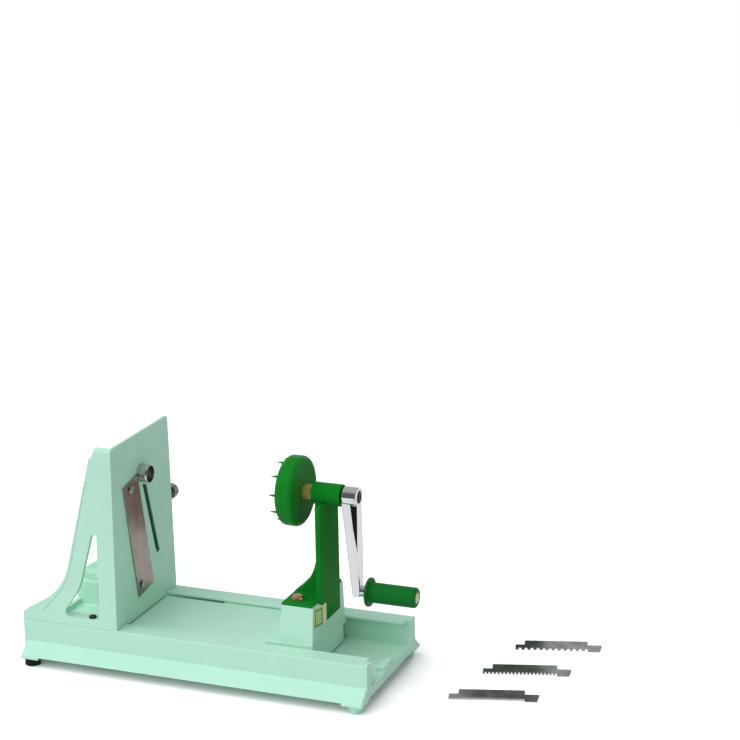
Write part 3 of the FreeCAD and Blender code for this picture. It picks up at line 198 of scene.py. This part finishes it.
# Metals: brushed or turned lines run along the axis whose stretch is small
metals = {
    "blade_steel": {
        "dark": colour(134, 127, 121), "pale": colour(170, 162, 155), "roughness": 0.2,
        "lines": 0.35 * mm, "stretch": (1, 1, 0.03), "lineDepth": 0.008 * mm, "patch": 12 * mm,
    },
    "comb_steel": {
        "dark": colour(104, 112, 110), "pale": colour(206, 210, 206), "roughness": 0.24,
        "lines": 0.3 * mm, "stretch": (0.04, 1, 1), "lineDepth": 0.01 * mm, "patch": 11 * mm,
    },
    "screw_steel": {
        "dark": colour(150, 150, 150), "pale": colour(204, 204, 202), "roughness": 0.24,
        "lines": 0.25 * mm, "stretch": (1, 1, 1), "lineDepth": 0.006 * mm, "patch": 3 * mm,
    },
    "dark_screw": {
        "dark": colour(48, 48, 52), "pale": colour(84, 84, 88), "roughness": 0.3,
        "lines": 0.25 * mm, "stretch": (1, 1, 1), "lineDepth": 0.006 * mm, "patch": 3 * mm,
    },
    "brass": {
        "dark": colour(206, 168, 90), "pale": colour(246, 216, 140), "roughness": 0.4, "metal": 0.75,
        "lines": 0.25 * mm, "stretch": (0.06, 1, 1), "lineDepth": 0.01 * mm, "patch": 4 * mm,
    },
    "tube_steel": {
        "dark": colour(176, 178, 176), "pale": colour(226, 227, 225), "roughness": 0.22,
        "lines": 0.3 * mm, "stretch": (1, 1, 1), "lineDepth": 0.006 * mm, "patch": 8 * mm,
    },
    # a copy of the chrome painted darker, standing for the dim reflections the knob shows
    "shaded_knob_chrome": {
        "dark": colour(116, 120, 116), "pale": colour(184, 186, 182), "roughness": 0.16,
        "lines": 0.4 * mm, "stretch": (1, 1, 1), "lineDepth": 0.006 * mm, "patch": 5 * mm,
    },
    "bush_bronze": {
        "dark": colour(150, 108, 66), "pale": colour(182, 138, 92), "roughness": 0.4,
        "lines": 0.3 * mm, "stretch": (1, 1, 1), "lineDepth": 0.02 * mm, "patch": 3 * mm,
    },
    "chrome": {
        "dark": colour(228, 229, 232), "pale": colour(242, 243, 245), "roughness": 0.05,
        "lines": 9 * mm, "stretch": (1, 1, 0.4), "lineDepth": 0.05 * mm, "patch": 22 * mm,
    },
    "copper_screw": {
        "dark": colour(186, 138, 102), "pale": colour(232, 190, 150), "roughness": 0.2, "metal": 0.85,
        "lines": 0.3 * mm, "stretch": (1, 1, 1), "lineDepth": 0.006 * mm, "patch": 3 * mm,
    },
}


polish = {"patchTone": 1.2, "lineTone": 0.9, "least": 0.7, "patchRough": 0.4, "lineRough": 0.2}


def metalFinish(name, look):
    finish = Finish(name)
    lines = finish.noise(look["lines"], 3, look["stretch"])
    patch = finish.noise(look["patch"], 3)
    tone = 0.5 + (patch - 0.5) * polish["patchTone"] + (lines - 0.5) * polish["lineTone"]
    base = finish.mix(tone, look["dark"], look["pale"])
    share = polish["least"] + patch * polish["patchRough"] + lines * polish["lineRough"]
    roughness = look["roughness"] * share
    return finish.surface(
        Base_Color=base, Metallic=look.get("metal", 1.0), Roughness=roughness,
        Normal=finish.bump(lines, look["lineDepth"]))


badgeLook = {
    "field": colour(176, 206, 140), "fieldDark": colour(150, 186, 116), "plain": colour(222, 216, 170),
    "line": colour(20, 52, 24), "border": 1.3 * mm, "lineWidth": 0.9 * mm, "bend": -20.5 * mm,
    "metal": 0.15, "roughness": 0.34, "streakRough": 0.14, "lineRough": 0.1, "streak": 0.4 * mm,
    "streakDepth": 0.01 * mm,
}


def badgeFinish():
    # a blank plate: a pale field inside a plain painted border, and a cream flap beyond the bend
    look = badgeLook
    finish = Finish("badge_foil")
    low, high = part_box("badge_plate")
    place = finish.add("ShaderNodeTexCoord", output="Object")
    across = finish.add("ShaderNodeSeparateXYZ", inputs={0: place}, output="Y")
    up = finish.add("ShaderNodeSeparateXYZ", inputs={0: place}, output="Z")
    sides = finish.maths("MINIMUM", across - low[1], look["bend"] - across)
    inset = finish.maths("MINIMUM", sides, finish.maths("MINIMUM", up - low[2], high[2] - up))
    onLine = (inset > look["border"]) * (look["border"] + look["lineWidth"] - inset > 0)
    streak = finish.noise(look["streak"], 2, (1, 0.05, 1))
    field = finish.mix(streak, look["fieldDark"], look["field"])
    base = finish.mix(onLine, field, look["line"])
    base = finish.mix(across > look["bend"], base, look["plain"])
    return finish.surface(
        Base_Color=base, Metallic=look["metal"] * (1 - onLine),
        Roughness=look["roughness"] + streak * look["streakRough"] + onLine * look["lineRough"],
        Normal=finish.bump(streak, look["streakDepth"]))


finishes = {name: mouldedPlastic(name, look) for name, look in plastics.items()}
finishes.update({name: metalFinish(name, look) for name, look in metals.items()})
finishes["badge_foil"] = badgeFinish()
print("finishes made:", len(finishes))


# Corners of a mesh that lie closer than this become one
weld = {"node": 0.001 * mm, "carving": 0.002 * mm, "turning": 0.0002 * mm}
# Faces that turn by less than this many degrees are one face
flatAngle = 0.6
# A turned corner's rounding has this many steps, and more for each millimetre of it
cornerSteps = {"least": 3, "each": 2}


def newPiece(name, shape, body, slot, replaced=(), finish=None, smooth=40):
    # a bmesh becomes a finished piece of the object
    mesh = bpy.data.meshes.new(name)
    shape.to_mesh(mesh)
    shape.free()
    mesh.shade_smooth()
    mesh.set_sharp_from_angle(angle=radians(smooth))
    piece = bpy.data.objects.new(name, mesh)
    bpy.context.scene.collection.objects.link(piece)
    mesh.materials.append(finishes[finish or slot])
    flat = piece.modifiers.new("flat_faces_stay_flat", "WEIGHTED_NORMAL")
    flat.keep_sharp = True
    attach(piece, body)
    if replaced:
        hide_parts(*replaced)
    return piece


def roundEdges(shape, width, angle=35, segments=2, among=None):
    # rounds every sharp edge and marks the new faces for the finish
    mark = shape.faces.layers.float.get("edge") or shape.faces.layers.float.new("edge")
    sharp = [
        edge for edge in among or shape.edges
        if edge.is_manifold and edge.calc_face_angle() > radians(angle)]
    made = bmesh.ops.bevel(
        shape, geom=sharp, offset=width, offset_type="OFFSET", segments=segments,
        profile=0.5, affect="EDGES", material=-1)
    for face in made["faces"]:
        face[mark] = 1.0
    return shape


def nodeShape(node):
    # a copy of a node's triangles, merged into whole faces
    shape = bmesh.new()
    shape.from_mesh(nodes[node].data)
    bmesh.ops.remove_doubles(shape, verts=shape.verts, dist=weld["node"])
    bmesh.ops.dissolve_limit(
        shape, angle_limit=radians(flatAngle), use_dissolve_boundaries=False,
        verts=shape.verts, edges=shape.edges)
    return shape


def joined(first, second):
    # the second shape's faces go into the first shape
    mesh = bpy.data.meshes.new("second")
    second.to_mesh(mesh)
    second.free()
    first.from_mesh(mesh)
    bpy.data.meshes.remove(mesh)
    return first


def carved(shape, tool, operation="DIFFERENCE", selfCrossing=True):
    # cuts a closed shape with another, or makes one of the two
    # selfCrossing allows for a shape whose own pieces overlap
    things = []
    for part in (shape, tool):
        mesh = bpy.data.meshes.new("carving")
        part.to_mesh(mesh)
        part.free()
        thing = bpy.data.objects.new("carving", mesh)
        bpy.context.scene.collection.objects.link(thing)
        things.append(thing)
    step = things[0].modifiers.new("carve", "BOOLEAN")
    step.operation = operation
    step.solver = "EXACT"
    step.use_self = selfCrossing
    step.object = things[1]
    result = bmesh.new()
    result.from_object(things[0], bpy.context.evaluated_depsgraph_get())
    for thing in things:
        mesh = thing.data
        bpy.data.objects.remove(thing)
        bpy.data.meshes.remove(mesh)
    bmesh.ops.remove_doubles(result, verts=result.verts, dist=weld["carving"])
    return result


def turned(profile, centre, steps=96):
    # points of (along, radius, rounding), spun about a line along X through the centre
    shape = bmesh.new()
    spots = [shape.verts.new((point[0] * mm, 0, point[1] * mm)) for point in profile]
    for first, second in zip(spots, spots[1:]):
        shape.edges.new((first, second))
    if profile[0][1] > 0:
        shape.edges.new((spots[-1], spots[0]))
    for spot, point in zip(spots, profile):
        if len(point) > 2:
            bmesh.ops.bevel(
                shape, geom=[spot], offset=point[2] * mm, profile=0.5, affect="VERTICES",
                segments=cornerSteps["least"] + int(point[2] * cornerSteps["each"]), material=-1)
    bmesh.ops.spin(
        shape, geom=shape.verts[:] + shape.edges[:], cent=(0, 0, 0), axis=(1, 0, 0), angle=2 * pi,
        steps=steps, use_merge=True)
    bmesh.ops.remove_doubles(shape, verts=shape.verts, dist=weld["turning"])
    bmesh.ops.recalc_face_normals(shape, faces=shape.faces)
    bmesh.ops.translate(shape, vec=Vector(centre) * mm, verts=shape.verts)
    return shape


# Nodes whose shape is right get softened edges: the width in millimetres
softened = {
    "base_channel": 0.45, "tower_frame": 0.4, "carriage": 0.4, "crank_post": 0.4, "peg_feet": 0.3,
    "rubber_feet": 0.3, "slicing_blade": 0.2, "coring_tube": 0.12, "tube_collar": 0.3, "lock_nut": 0.35,
    "badge_plate": 0.15, "clamp_pad": 0.3, "comb_blade_fine": 0.08,
    "comb_blade_medium": 0.1, "comb_blade_coarse": 0.1, "grip_cap": 0.2,
}
ownFinish = {
    "coring_tube": "tube_steel", "clamp_pad": "dark_screw", "comb_blade_fine": "comb_steel",
    "comb_blade_medium": "comb_steel", "comb_blade_coarse": "comb_steel",
}
slit = {"node": "tower_frame", "low": (-75.5, 0.5, 84.0), "high": (-69.0, 30.0, 157.0), "behind": -71.0}
footStrip = {"low": (-72.2, -37.9, 38.9), "high": (-69.8, 37.9, 40.9)}
# a strip painted in shade, filling the gap between the panel and the deck
gapShadeStrip = {"low": (-72.2, -37.9, 37.6), "high": (-71.2, 37.9, 38.9)}


def inside(spot, box):
    return all(low * mm < place < high * mm for low, place, high in zip(box["low"], spot, box["high"]))


def softenedNode(node, width):
    shape = nodeShape(node)
    edges = list(shape.edges)
    if node == slit["node"]:
        # faces inside the slit are marked to be painted in shade
        mark = shape.faces.layers.float.new("slit")
        for face in shape.faces:
            middle = face.calc_center_median()
            behind = middle.x < slit["behind"] * mm and face.normal.x > 0.5
            if inside(middle, slit) and (behind or abs(face.normal.x) < 0.5):
                face[mark] = 1.0
        edges = [edge for edge in edges if not inside((edge.verts[0].co + edge.verts[1].co) / 2, slit)]
    roundEdges(shape, width * mm, among=edges)
    # rounding a slanting corner can push it out a little
    low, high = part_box(node)
    for spot in shape.verts:
        spot.co = [min(max(place, least), most) for least, place, most in zip(low, spot.co, high)]
    if node == slit["node"]:
        # the panel's thin lower edge, which runs down between the rails, and under it a strip painted in
        # shade that fills the gap over the deck
        for box, shade in ((footStrip, 0.0), (gapShadeStrip, 1.0)):
            low, high = Vector(box["low"]) * mm, Vector(box["high"]) * mm
            strip = bmesh.new()
            shadeMark = strip.faces.layers.float.new("slit")
            bmesh.ops.create_cube(strip, size=1)
            bmesh.ops.scale(strip, vec=high - low, verts=strip.verts)
            bmesh.ops.translate(strip, vec=(low + high) / 2, verts=strip.verts)
            for face in strip.faces:
                face[shadeMark] = shade
            joined(shape, strip)
    slot = slotOf[node]
    return newPiece(node + "_shaped", shape, bodyOf[node], slot, [node], ownFinish.get(node))


for node, width in softened.items():
    softenedNode(node, width)
print("nodes softened:", len(softened))


# Screws keep the node's shape and gain a cross recess in each head
screws = {
    "tower_screws": {"towards": (0, 0, 1), "across": 2.5, "deep": 0.9, "width": 0.16, "finish": "dark_screw"},
    "blade_screws": {"towards": (1, 0, 0), "across": 2.2, "deep": 0.8, "width": 0.16},
    "post_screws": {"towards": (0, 0, 1), "across": 2.6, "deep": 1.6, "width": 0.1},
    "crank_screw": {"towards": (1, 0, 0), "across": 3.0, "deep": 1.2, "width": 0.16},
    "wheel_screw": {"towards": (-1, 0, 0), "across": 3.0, "deep": 1.2, "width": 0.16},
}

crossCut = {"turns": (20, 110), "foot": 0.45, "mouth": 1.55}


def islands(shape):
    # groups of corners that hang together
    left = set(shape.verts)
    while left:
        queue = [left.pop()]
        group = set(queue)
        while queue:
            for edge in queue.pop().link_edges:
                for spot in edge.verts:
                    if spot not in group:
                        group.add(spot)
                        queue.append(spot)
        left -= group
        yield group


def crossHeaded(node, look):
    # two flat wedges cut the recess, one after the other
    shape = nodeShape(node)
    towards = Vector(look["towards"])
    heads = []
    for group in islands(shape):
        places = [spot.co for spot in group]
        middle = Vector([(min(p[i] for p in places) + max(p[i] for p in places)) / 2 for i in range(3)])
        top = max(place.dot(towards) for place in places)
        heads.append(middle + towards * (top - middle.dot(towards)))
    flat = Matrix.Diagonal((1, look["width"] * 2, 1, 1)) @ Matrix.Rotation(radians(45), 4, "Z")
    for quarter in crossCut["turns"]:
        tool = bmesh.new()
        for head in heads:
            way = Matrix.Translation(head) @ towards.to_track_quat("Z", "Y").to_matrix().to_4x4()
            bmesh.ops.create_cone(
                tool, cap_ends=True, segments=4, radius1=look["across"] * crossCut["foot"] * mm,
                radius2=look["across"] * crossCut["mouth"] * mm, depth=look["deep"] * 2 * mm,
                matrix=way @ Matrix.Rotation(radians(quarter), 4, "Z") @ flat)
        shape = carved(shape, tool, selfCrossing=False)
    return newPiece(node + "_shaped", shape, bodyOf[node], slotOf[node], [node], look.get("finish"), 30)


for node, look in screws.items():
    crossHeaded(node, look)
print("screws made:", len(screws))


crankArm = {
    "back": 120.95, "front": 135.15, "footBack": 129.35, "footFront": 135.75, "top": 166.5, "foot": 78.5,
    "halfTop": 7.3, "halfFoot": 5.3, "sections": ((0, 6.6), (0.3, 4.2), (0.56, 0.9), (1, 0.9)), "slant": 0.36,
    "edge": 0.7, "hubRadius": 8.6, "hubRound": 2.2, "shaftHeight": 166.5, "shaftRadius": 4.02,
    "recessRadius": 5.2, "recess": 3.5, "rim": 0.4, "gripHeight": 82.5, "bossRadius": 4.8, "bossEnd": 141.35,
    "pinRadius": 3.02, "edgeAngle": 14, "edgeSteps": 4, "bossIn": 0.4, "past": 2, "boreSteps": 64,
    "near": 0.02,
}


def makeCrankArm():
    look = crankArm
    bar = bmesh.new()
    rings = []
    for share, cut in look["sections"]:
        back = look["back"] + (look["footBack"] - look["back"]) * share
        front = look["front"] + (look["footFront"] - look["front"]) * share
        half = look["halfTop"] + (look["halfFoot"] - look["halfTop"]) * share
        height = look["top"] + (look["foot"] - look["top"]) * share
        side = half - cut * look["slant"]
        section = [
            (back, -half), (front - cut, -half), (front, -side),
            (front, side), (front - cut, half), (back, half)]
        spots = [bar.verts.new((x * mm, y * mm, height * mm)) for x, y in section]
        rings.append([bar.edges.new((spots[i - 1], spots[i])) for i in range(len(spots))])
    for upper, lower in zip(rings, rings[1:]):
        bmesh.ops.bridge_loops(bar, edges=upper + lower)
    for ring in (rings[0], rings[-1]):
        bmesh.ops.contextual_create(bar, geom=ring)
    bmesh.ops.recalc_face_normals(bar, faces=bar.faces)
    roundEdges(bar, look["edge"] * mm, angle=look["edgeAngle"], segments=look["edgeSteps"])
    centre = (0, 0, look["shaftHeight"])
    hub = turned([
        (look["back"], 0), (look["back"], look["hubRadius"], look["hubRound"]),
        (look["front"], look["hubRadius"], look["hubRound"]), (look["front"], 0)], centre)
    boss = turned([
        (look["footBack"] + look["bossIn"], 0), (look["footBack"] + look["bossIn"], look["bossRadius"]),
        (look["bossEnd"], look["bossRadius"], 0.5), (look["bossEnd"], 0)],
        (0, 0, look["gripHeight"]), look["boreSteps"])
    arm = carved(carved(bar, hub, "UNION"), boss, "UNION")
    recess = turned([
        (look["front"] - look["recess"], 0), (look["front"] - look["recess"], look["recessRadius"]),
        (look["front"] + look["past"], look["recessRadius"]), (look["front"] + look["past"], 0)], centre)
    bore = turned([
        (look["back"] - look["past"], 0), (look["back"] - look["past"], look["shaftRadius"]),
        (look["front"], look["shaftRadius"]), (look["front"], 0)], centre, look["boreSteps"])
    hole = turned([
        (look["footBack"] - look["past"], 0), (look["footBack"] - look["past"], look["pinRadius"]),
        (look["bossEnd"] + look["past"], look["pinRadius"]), (look["bossEnd"] + look["past"], 0)],
        (0, 0, look["gripHeight"]), look["boreSteps"])
    for tool in (recess, bore, hole):
        arm = carved(arm, tool)
    middle = Vector((look["front"], 0, look["shaftHeight"])) * mm
    reach, near = look["recessRadius"] * mm, look["near"] * mm
    rim = [
        edge for edge in arm.edges
        if all(abs((spot.co - middle).length - reach) < near for spot in edge.verts)]
    roundEdges(arm, look["rim"] * mm, segments=3, among=rim)
    newPiece("crank_arm_shaped", arm, bodyOf["crank_arm"], slotOf["crank_arm"], ["crank_arm"], None, 30)


thumbScrew = {
    "tip": 20.0, "shank": 2.0, "collarFrom": 59.1, "collar": 4.6, "from": 60.3, "to": 67.3, "radius": 7.0,
    "edge": 0.6, "ridges": 24, "ridgeSteps": 4, "ridgeFrom": 0.6, "cut": 0.93,
    "dish": 4.2, "dishDeep": 0.5, "dishSlope": 0.6, "x": -74.75, "z": 128.5,
}


def makeThumbScrew():
    look = thumbScrew
    shape = turned([
        (look["tip"], 0), (look["tip"], look["shank"], 0.4), (look["collarFrom"], look["shank"]),
        (look["collarFrom"], look["collar"], 0.3), (look["from"], look["collar"]),
        (look["from"], look["radius"], look["edge"]), (look["to"], look["radius"], look["edge"]),
        (look["to"], look["dish"], 0.3), (look["to"] - look["dishDeep"], look["dish"] - look["dishSlope"]),
        (look["to"] - look["dishDeep"], 0)], (0, 0, 0), look["ridges"] * look["ridgeSteps"])
    # half of the steps round the rim are cut down between two ridges
    low = [
        spot for spot in shape.verts
        if spot.co.yz.length > (look["radius"] - look["edge"] * look["ridgeFrom"]) * mm
        and round(atan2(spot.co.z, spot.co.y) / (2 * pi) * look["ridges"] * look["ridgeSteps"])
        % look["ridgeSteps"] < look["ridgeSteps"] / 2]
    bmesh.ops.scale(shape, vec=(1, look["cut"], look["cut"]), verts=low)
    place = Matrix.Translation((look["x"] * mm, 0, look["z"] * mm)) @ Matrix.Rotation(radians(90), 4, "Z")
    bmesh.ops.transform(shape, matrix=place, verts=shape.verts)
    # the knob takes the darker painted chrome instead of the arm's
    newPiece(
        "thumb_screw_shaped", shape, bodyOf["thumb_screw"], slotOf["thumb_screw"], ["thumb_screw"],
        "shaded_knob_chrome", 25)


grip = {
    "from": 141.85, "to": 186.15, "flange": 12.6, "flangeWide": 2.8, "flangeRound": 1.1, "radius": 8.8,
    "neck": 1.2, "round": 2.6, "pin": 3.05, "cap": 4.72, "seat": 177.35, "height": 82.5,
}


def makeGrip():
    look = grip
    body = look["from"] + look["flangeWide"]
    shape = turned([
        (look["from"], look["pin"]), (look["from"], look["flange"], look["flangeRound"]),
        (body, look["flange"], look["flangeRound"]), (body, look["radius"], look["neck"]),
        (look["to"], look["radius"], look["round"]), (look["to"], look["cap"]),
        (look["seat"], look["cap"]), (look["seat"], look["pin"])], (0, 0, look["height"]), 128)
    newPiece("grip_shaped", shape, bodyOf["grip"], slotOf["grip"], ["grip"], "grip_plastic", 35)


wheel = {
    "front": 68.75, "back": 84.75, "radius": 30.3, "frontRound": 5.0, "backRound": 4.0, "bore": 4.02,
    "pocket": 6.0, "pocketDeep": 3.4, "height": 166.5, "spikes": 10, "phase": 12.0, "ring": 26.0,
    "spikeLong": 6.0, "spikeFoot": 1.3, "spikeTip": 0.22, "spikeIn": 0.6,
}


def makeWheel():
    look = wheel
    shape = turned([
        (look["front"] + look["pocketDeep"], look["bore"]),
        (look["front"] + look["pocketDeep"], look["pocket"]),
        (look["front"], look["pocket"], 0.4), (look["front"], look["radius"], look["frontRound"]),
        (look["back"], look["radius"], look["backRound"]), (look["back"], look["bore"])],
        (0, 0, look["height"]), 144)
    spike = turned([
        (look["front"] - look["spikeLong"], 0), (look["front"] - look["spikeLong"], look["spikeTip"], 0.12),
        (look["front"] + look["spikeIn"], look["spikeFoot"]), (look["front"] + look["spikeIn"], 0)],
        (0, 0, look["height"] + look["ring"]), 20)
    for number in range(look["spikes"]):
        one = spike.copy()
        angle = radians(look["phase"] + 360 * number / look["spikes"])
        bmesh.ops.rotate(
            one, cent=(0, 0, look["height"] * mm), matrix=Matrix.Rotation(angle, 3, "X"), verts=one.verts)
        joined(shape, one)
    spike.free()
    newPiece(
        "spiked_wheel_shaped", shape, bodyOf["spiked_wheel"], slotOf["spiked_wheel"], ["spiked_wheel"],
        None, 35)


makeCrankArm()
makeThumbScrew()
makeGrip()
makeWheel()
for node, thing in nodes.items():
    thing.data.materials.clear()
    thing.data.materials.append(finishes[slotOf[node]])
print("pieces made")


studio = {
    "floorSize": (5.0, 5.0), "floorAhead": 2.0,
    "floorSeen": (1.3, 1.3, 1.3, 1), "floorLit": (0.8, 0.8, 0.8, 1), "floorShone": (0.84, 0.84, 0.84, 1),
    "background": (1, 1, 1, 1), "ambient": (0.45, 0.45, 0.45, 1),
    "ceiling": (0.45, 0.45, 0.45, 1), "ceilingFrom": 0.08, "ceilingTo": 0.5,
    "room": (0.1, 0.105, 0.11, 1), "roomFrom": 0.2, "roomTo": 0.7,
    "sun": 2.15, "sunWidth": 75, "sunTurn": -30, "sunHeight": 52,
    # a card is its low and high corner, its height, its tone and how it stands
    "dark_card": ((0.17, -1.1), (0.62, -0.34), 0.002, colour(26, 28, 30)),
    "brown_card": (
        (0, 0), (0.1, 0.08), 0, colour(146, 124, 108), {"foot": (0.02, 0.3, 0.001), "turn": -17}),
    "leaf_card": (
        (0.12, 0), (0.215, 0.14), 0, colour(84, 92, 84), {"foot": (0.02, 0.3, 0.001), "turn": -17}),
}


def makePlane(name, low, high, height, finish):
    shape = bmesh.new()
    bmesh.ops.create_grid(shape, x_segments=1, y_segments=1, size=0.5)
    bmesh.ops.scale(shape, vec=(high[0] - low[0], high[1] - low[1], 1), verts=shape.verts)
    middle = ((low[0] + high[0]) / 2, (low[1] + high[1]) / 2, height)
    bmesh.ops.translate(shape, vec=middle, verts=shape.verts)
    mesh = bpy.data.meshes.new(name)
    shape.to_mesh(mesh)
    shape.free()
    thing = bpy.data.objects.new(name, mesh)
    bpy.context.scene.collection.objects.link(thing)
    mesh.materials.append(finish.material)
    return thing


def makeFloor():
    finish = Finish("floor_paper")
    camera, glossy = [
        finish.add("ShaderNodeLightPath", output="Is " + ray + " Ray") for ray in ("Camera", "Glossy")]
    paper = finish.mix(glossy, studio["floorLit"], studio["floorShone"])
    paper = finish.mix(camera, paper, studio["floorSeen"])
    shader = finish.add("ShaderNodeBsdfDiffuse", inputs={"Color": paper})
    finish.add("ShaderNodeOutputMaterial", inputs={"Surface": shader})
    wide, deep = studio["floorSize"]
    makePlane("floor", (-wide / 2, -studio["floorAhead"]), (wide / 2, deep - studio["floorAhead"]), 0, finish)


def makeFlag(name, low, high, height, tone, standing=None):
    # a card that only shiny surfaces reflect
    finish = Finish(name)
    shader = finish.add("ShaderNodeBsdfDiffuse", inputs={"Color": tone})
    finish.add("ShaderNodeOutputMaterial", inputs={"Surface": shader})
    flag = makePlane(name, low, high, height, finish)
    if standing:
        flag.data.transform(
            Matrix.Translation(standing["foot"]) @ Matrix.Rotation(radians(standing["turn"]), 4, "Z")
            @ Matrix.Rotation(radians(90), 4, "X"))
    for ray in ("camera", "diffuse", "transmission", "shadow"):
        setattr(flag, "visible_" + ray, False)


def makeWorld():
    world = bpy.data.worlds.new("studio")
    bpy.context.scene.world = world
    finish = Finish("studio", world)
    camera, glossy, through = [
        finish.add("ShaderNodeLightPath", output="Is " + ray + " Ray")
        for ray in ("Camera", "Glossy", "Transmission")]
    # polished metal sees the pale backdrop low down, a dim ceiling and the dark room in front of the set
    way = finish.add("ShaderNodeTexCoord", output="Generated")
    ahead = finish.add("ShaderNodeSeparateXYZ", inputs={0: way}, output="Y")
    above = finish.add("ShaderNodeSeparateXYZ", inputs={0: way}, output="Z")
    high = finish.add("ShaderNodeMapRange", inputs={
        "Value": above, "From Min": studio["ceilingFrom"], "From Max": studio["ceilingTo"]})
    front = finish.add("ShaderNodeMapRange", inputs={
        "Value": 0 - ahead, "From Min": studio["roomFrom"], "From Max": studio["roomTo"]})
    seen = finish.mix(high, studio["background"], studio["ceiling"])
    seen = finish.mix(front, seen, studio["room"])
    base = finish.mix(glossy, studio["ambient"], seen)
    base = finish.mix(camera + through, base, studio["background"])
    shader = finish.add("ShaderNodeBackground", inputs={"Color": base})
    finish.add("ShaderNodeOutputWorld", inputs={"Surface": shader})


def makeKeyLight():
    lamp = bpy.data.lights.new("key_light", "SUN")
    lamp.energy = studio["sun"]
    lamp.angle = radians(studio["sunWidth"])
    light = bpy.data.objects.new("key_light", lamp)
    bpy.context.scene.collection.objects.link(light)
    light.rotation_euler = (radians(90 - studio["sunHeight"]), 0, radians(studio["sunTurn"]))
    light.visible_glossy = False


view = {
    "place": (0.75965, -1.5587, 0.7475), "azimuth": 21.468, "elevation": 15.639, "roll": -0.955,
    "lens": 102.75, "sensor": 36.0,
}


def makeCamera():
    camera = bpy.data.cameras.new("camera")
    camera.lens = view["lens"]
    camera.sensor_width = view["sensor"]
    camera.sensor_fit = "HORIZONTAL"
    holder = bpy.data.objects.new("camera", camera)
    bpy.context.scene.collection.objects.link(holder)
    turn = Matrix.Rotation(radians(view["azimuth"]), 4, "Z")
    tilt = Matrix.Rotation(radians(90 - view["elevation"]), 4, "X")
    roll = Matrix.Rotation(radians(view["roll"]), 4, "Z")
    holder.matrix_world = Matrix.Translation(view["place"]) @ turn @ tilt @ roll
    bpy.context.scene.camera = holder


makeFloor()
for card in ("dark_card", "brown_card", "leaf_card"):
    makeFlag(card, *studio[card])
makeWorld()
makeKeyLight()
makeCamera()
bpy.context.scene.view_settings.view_transform = "Standard"
print("studio ready")
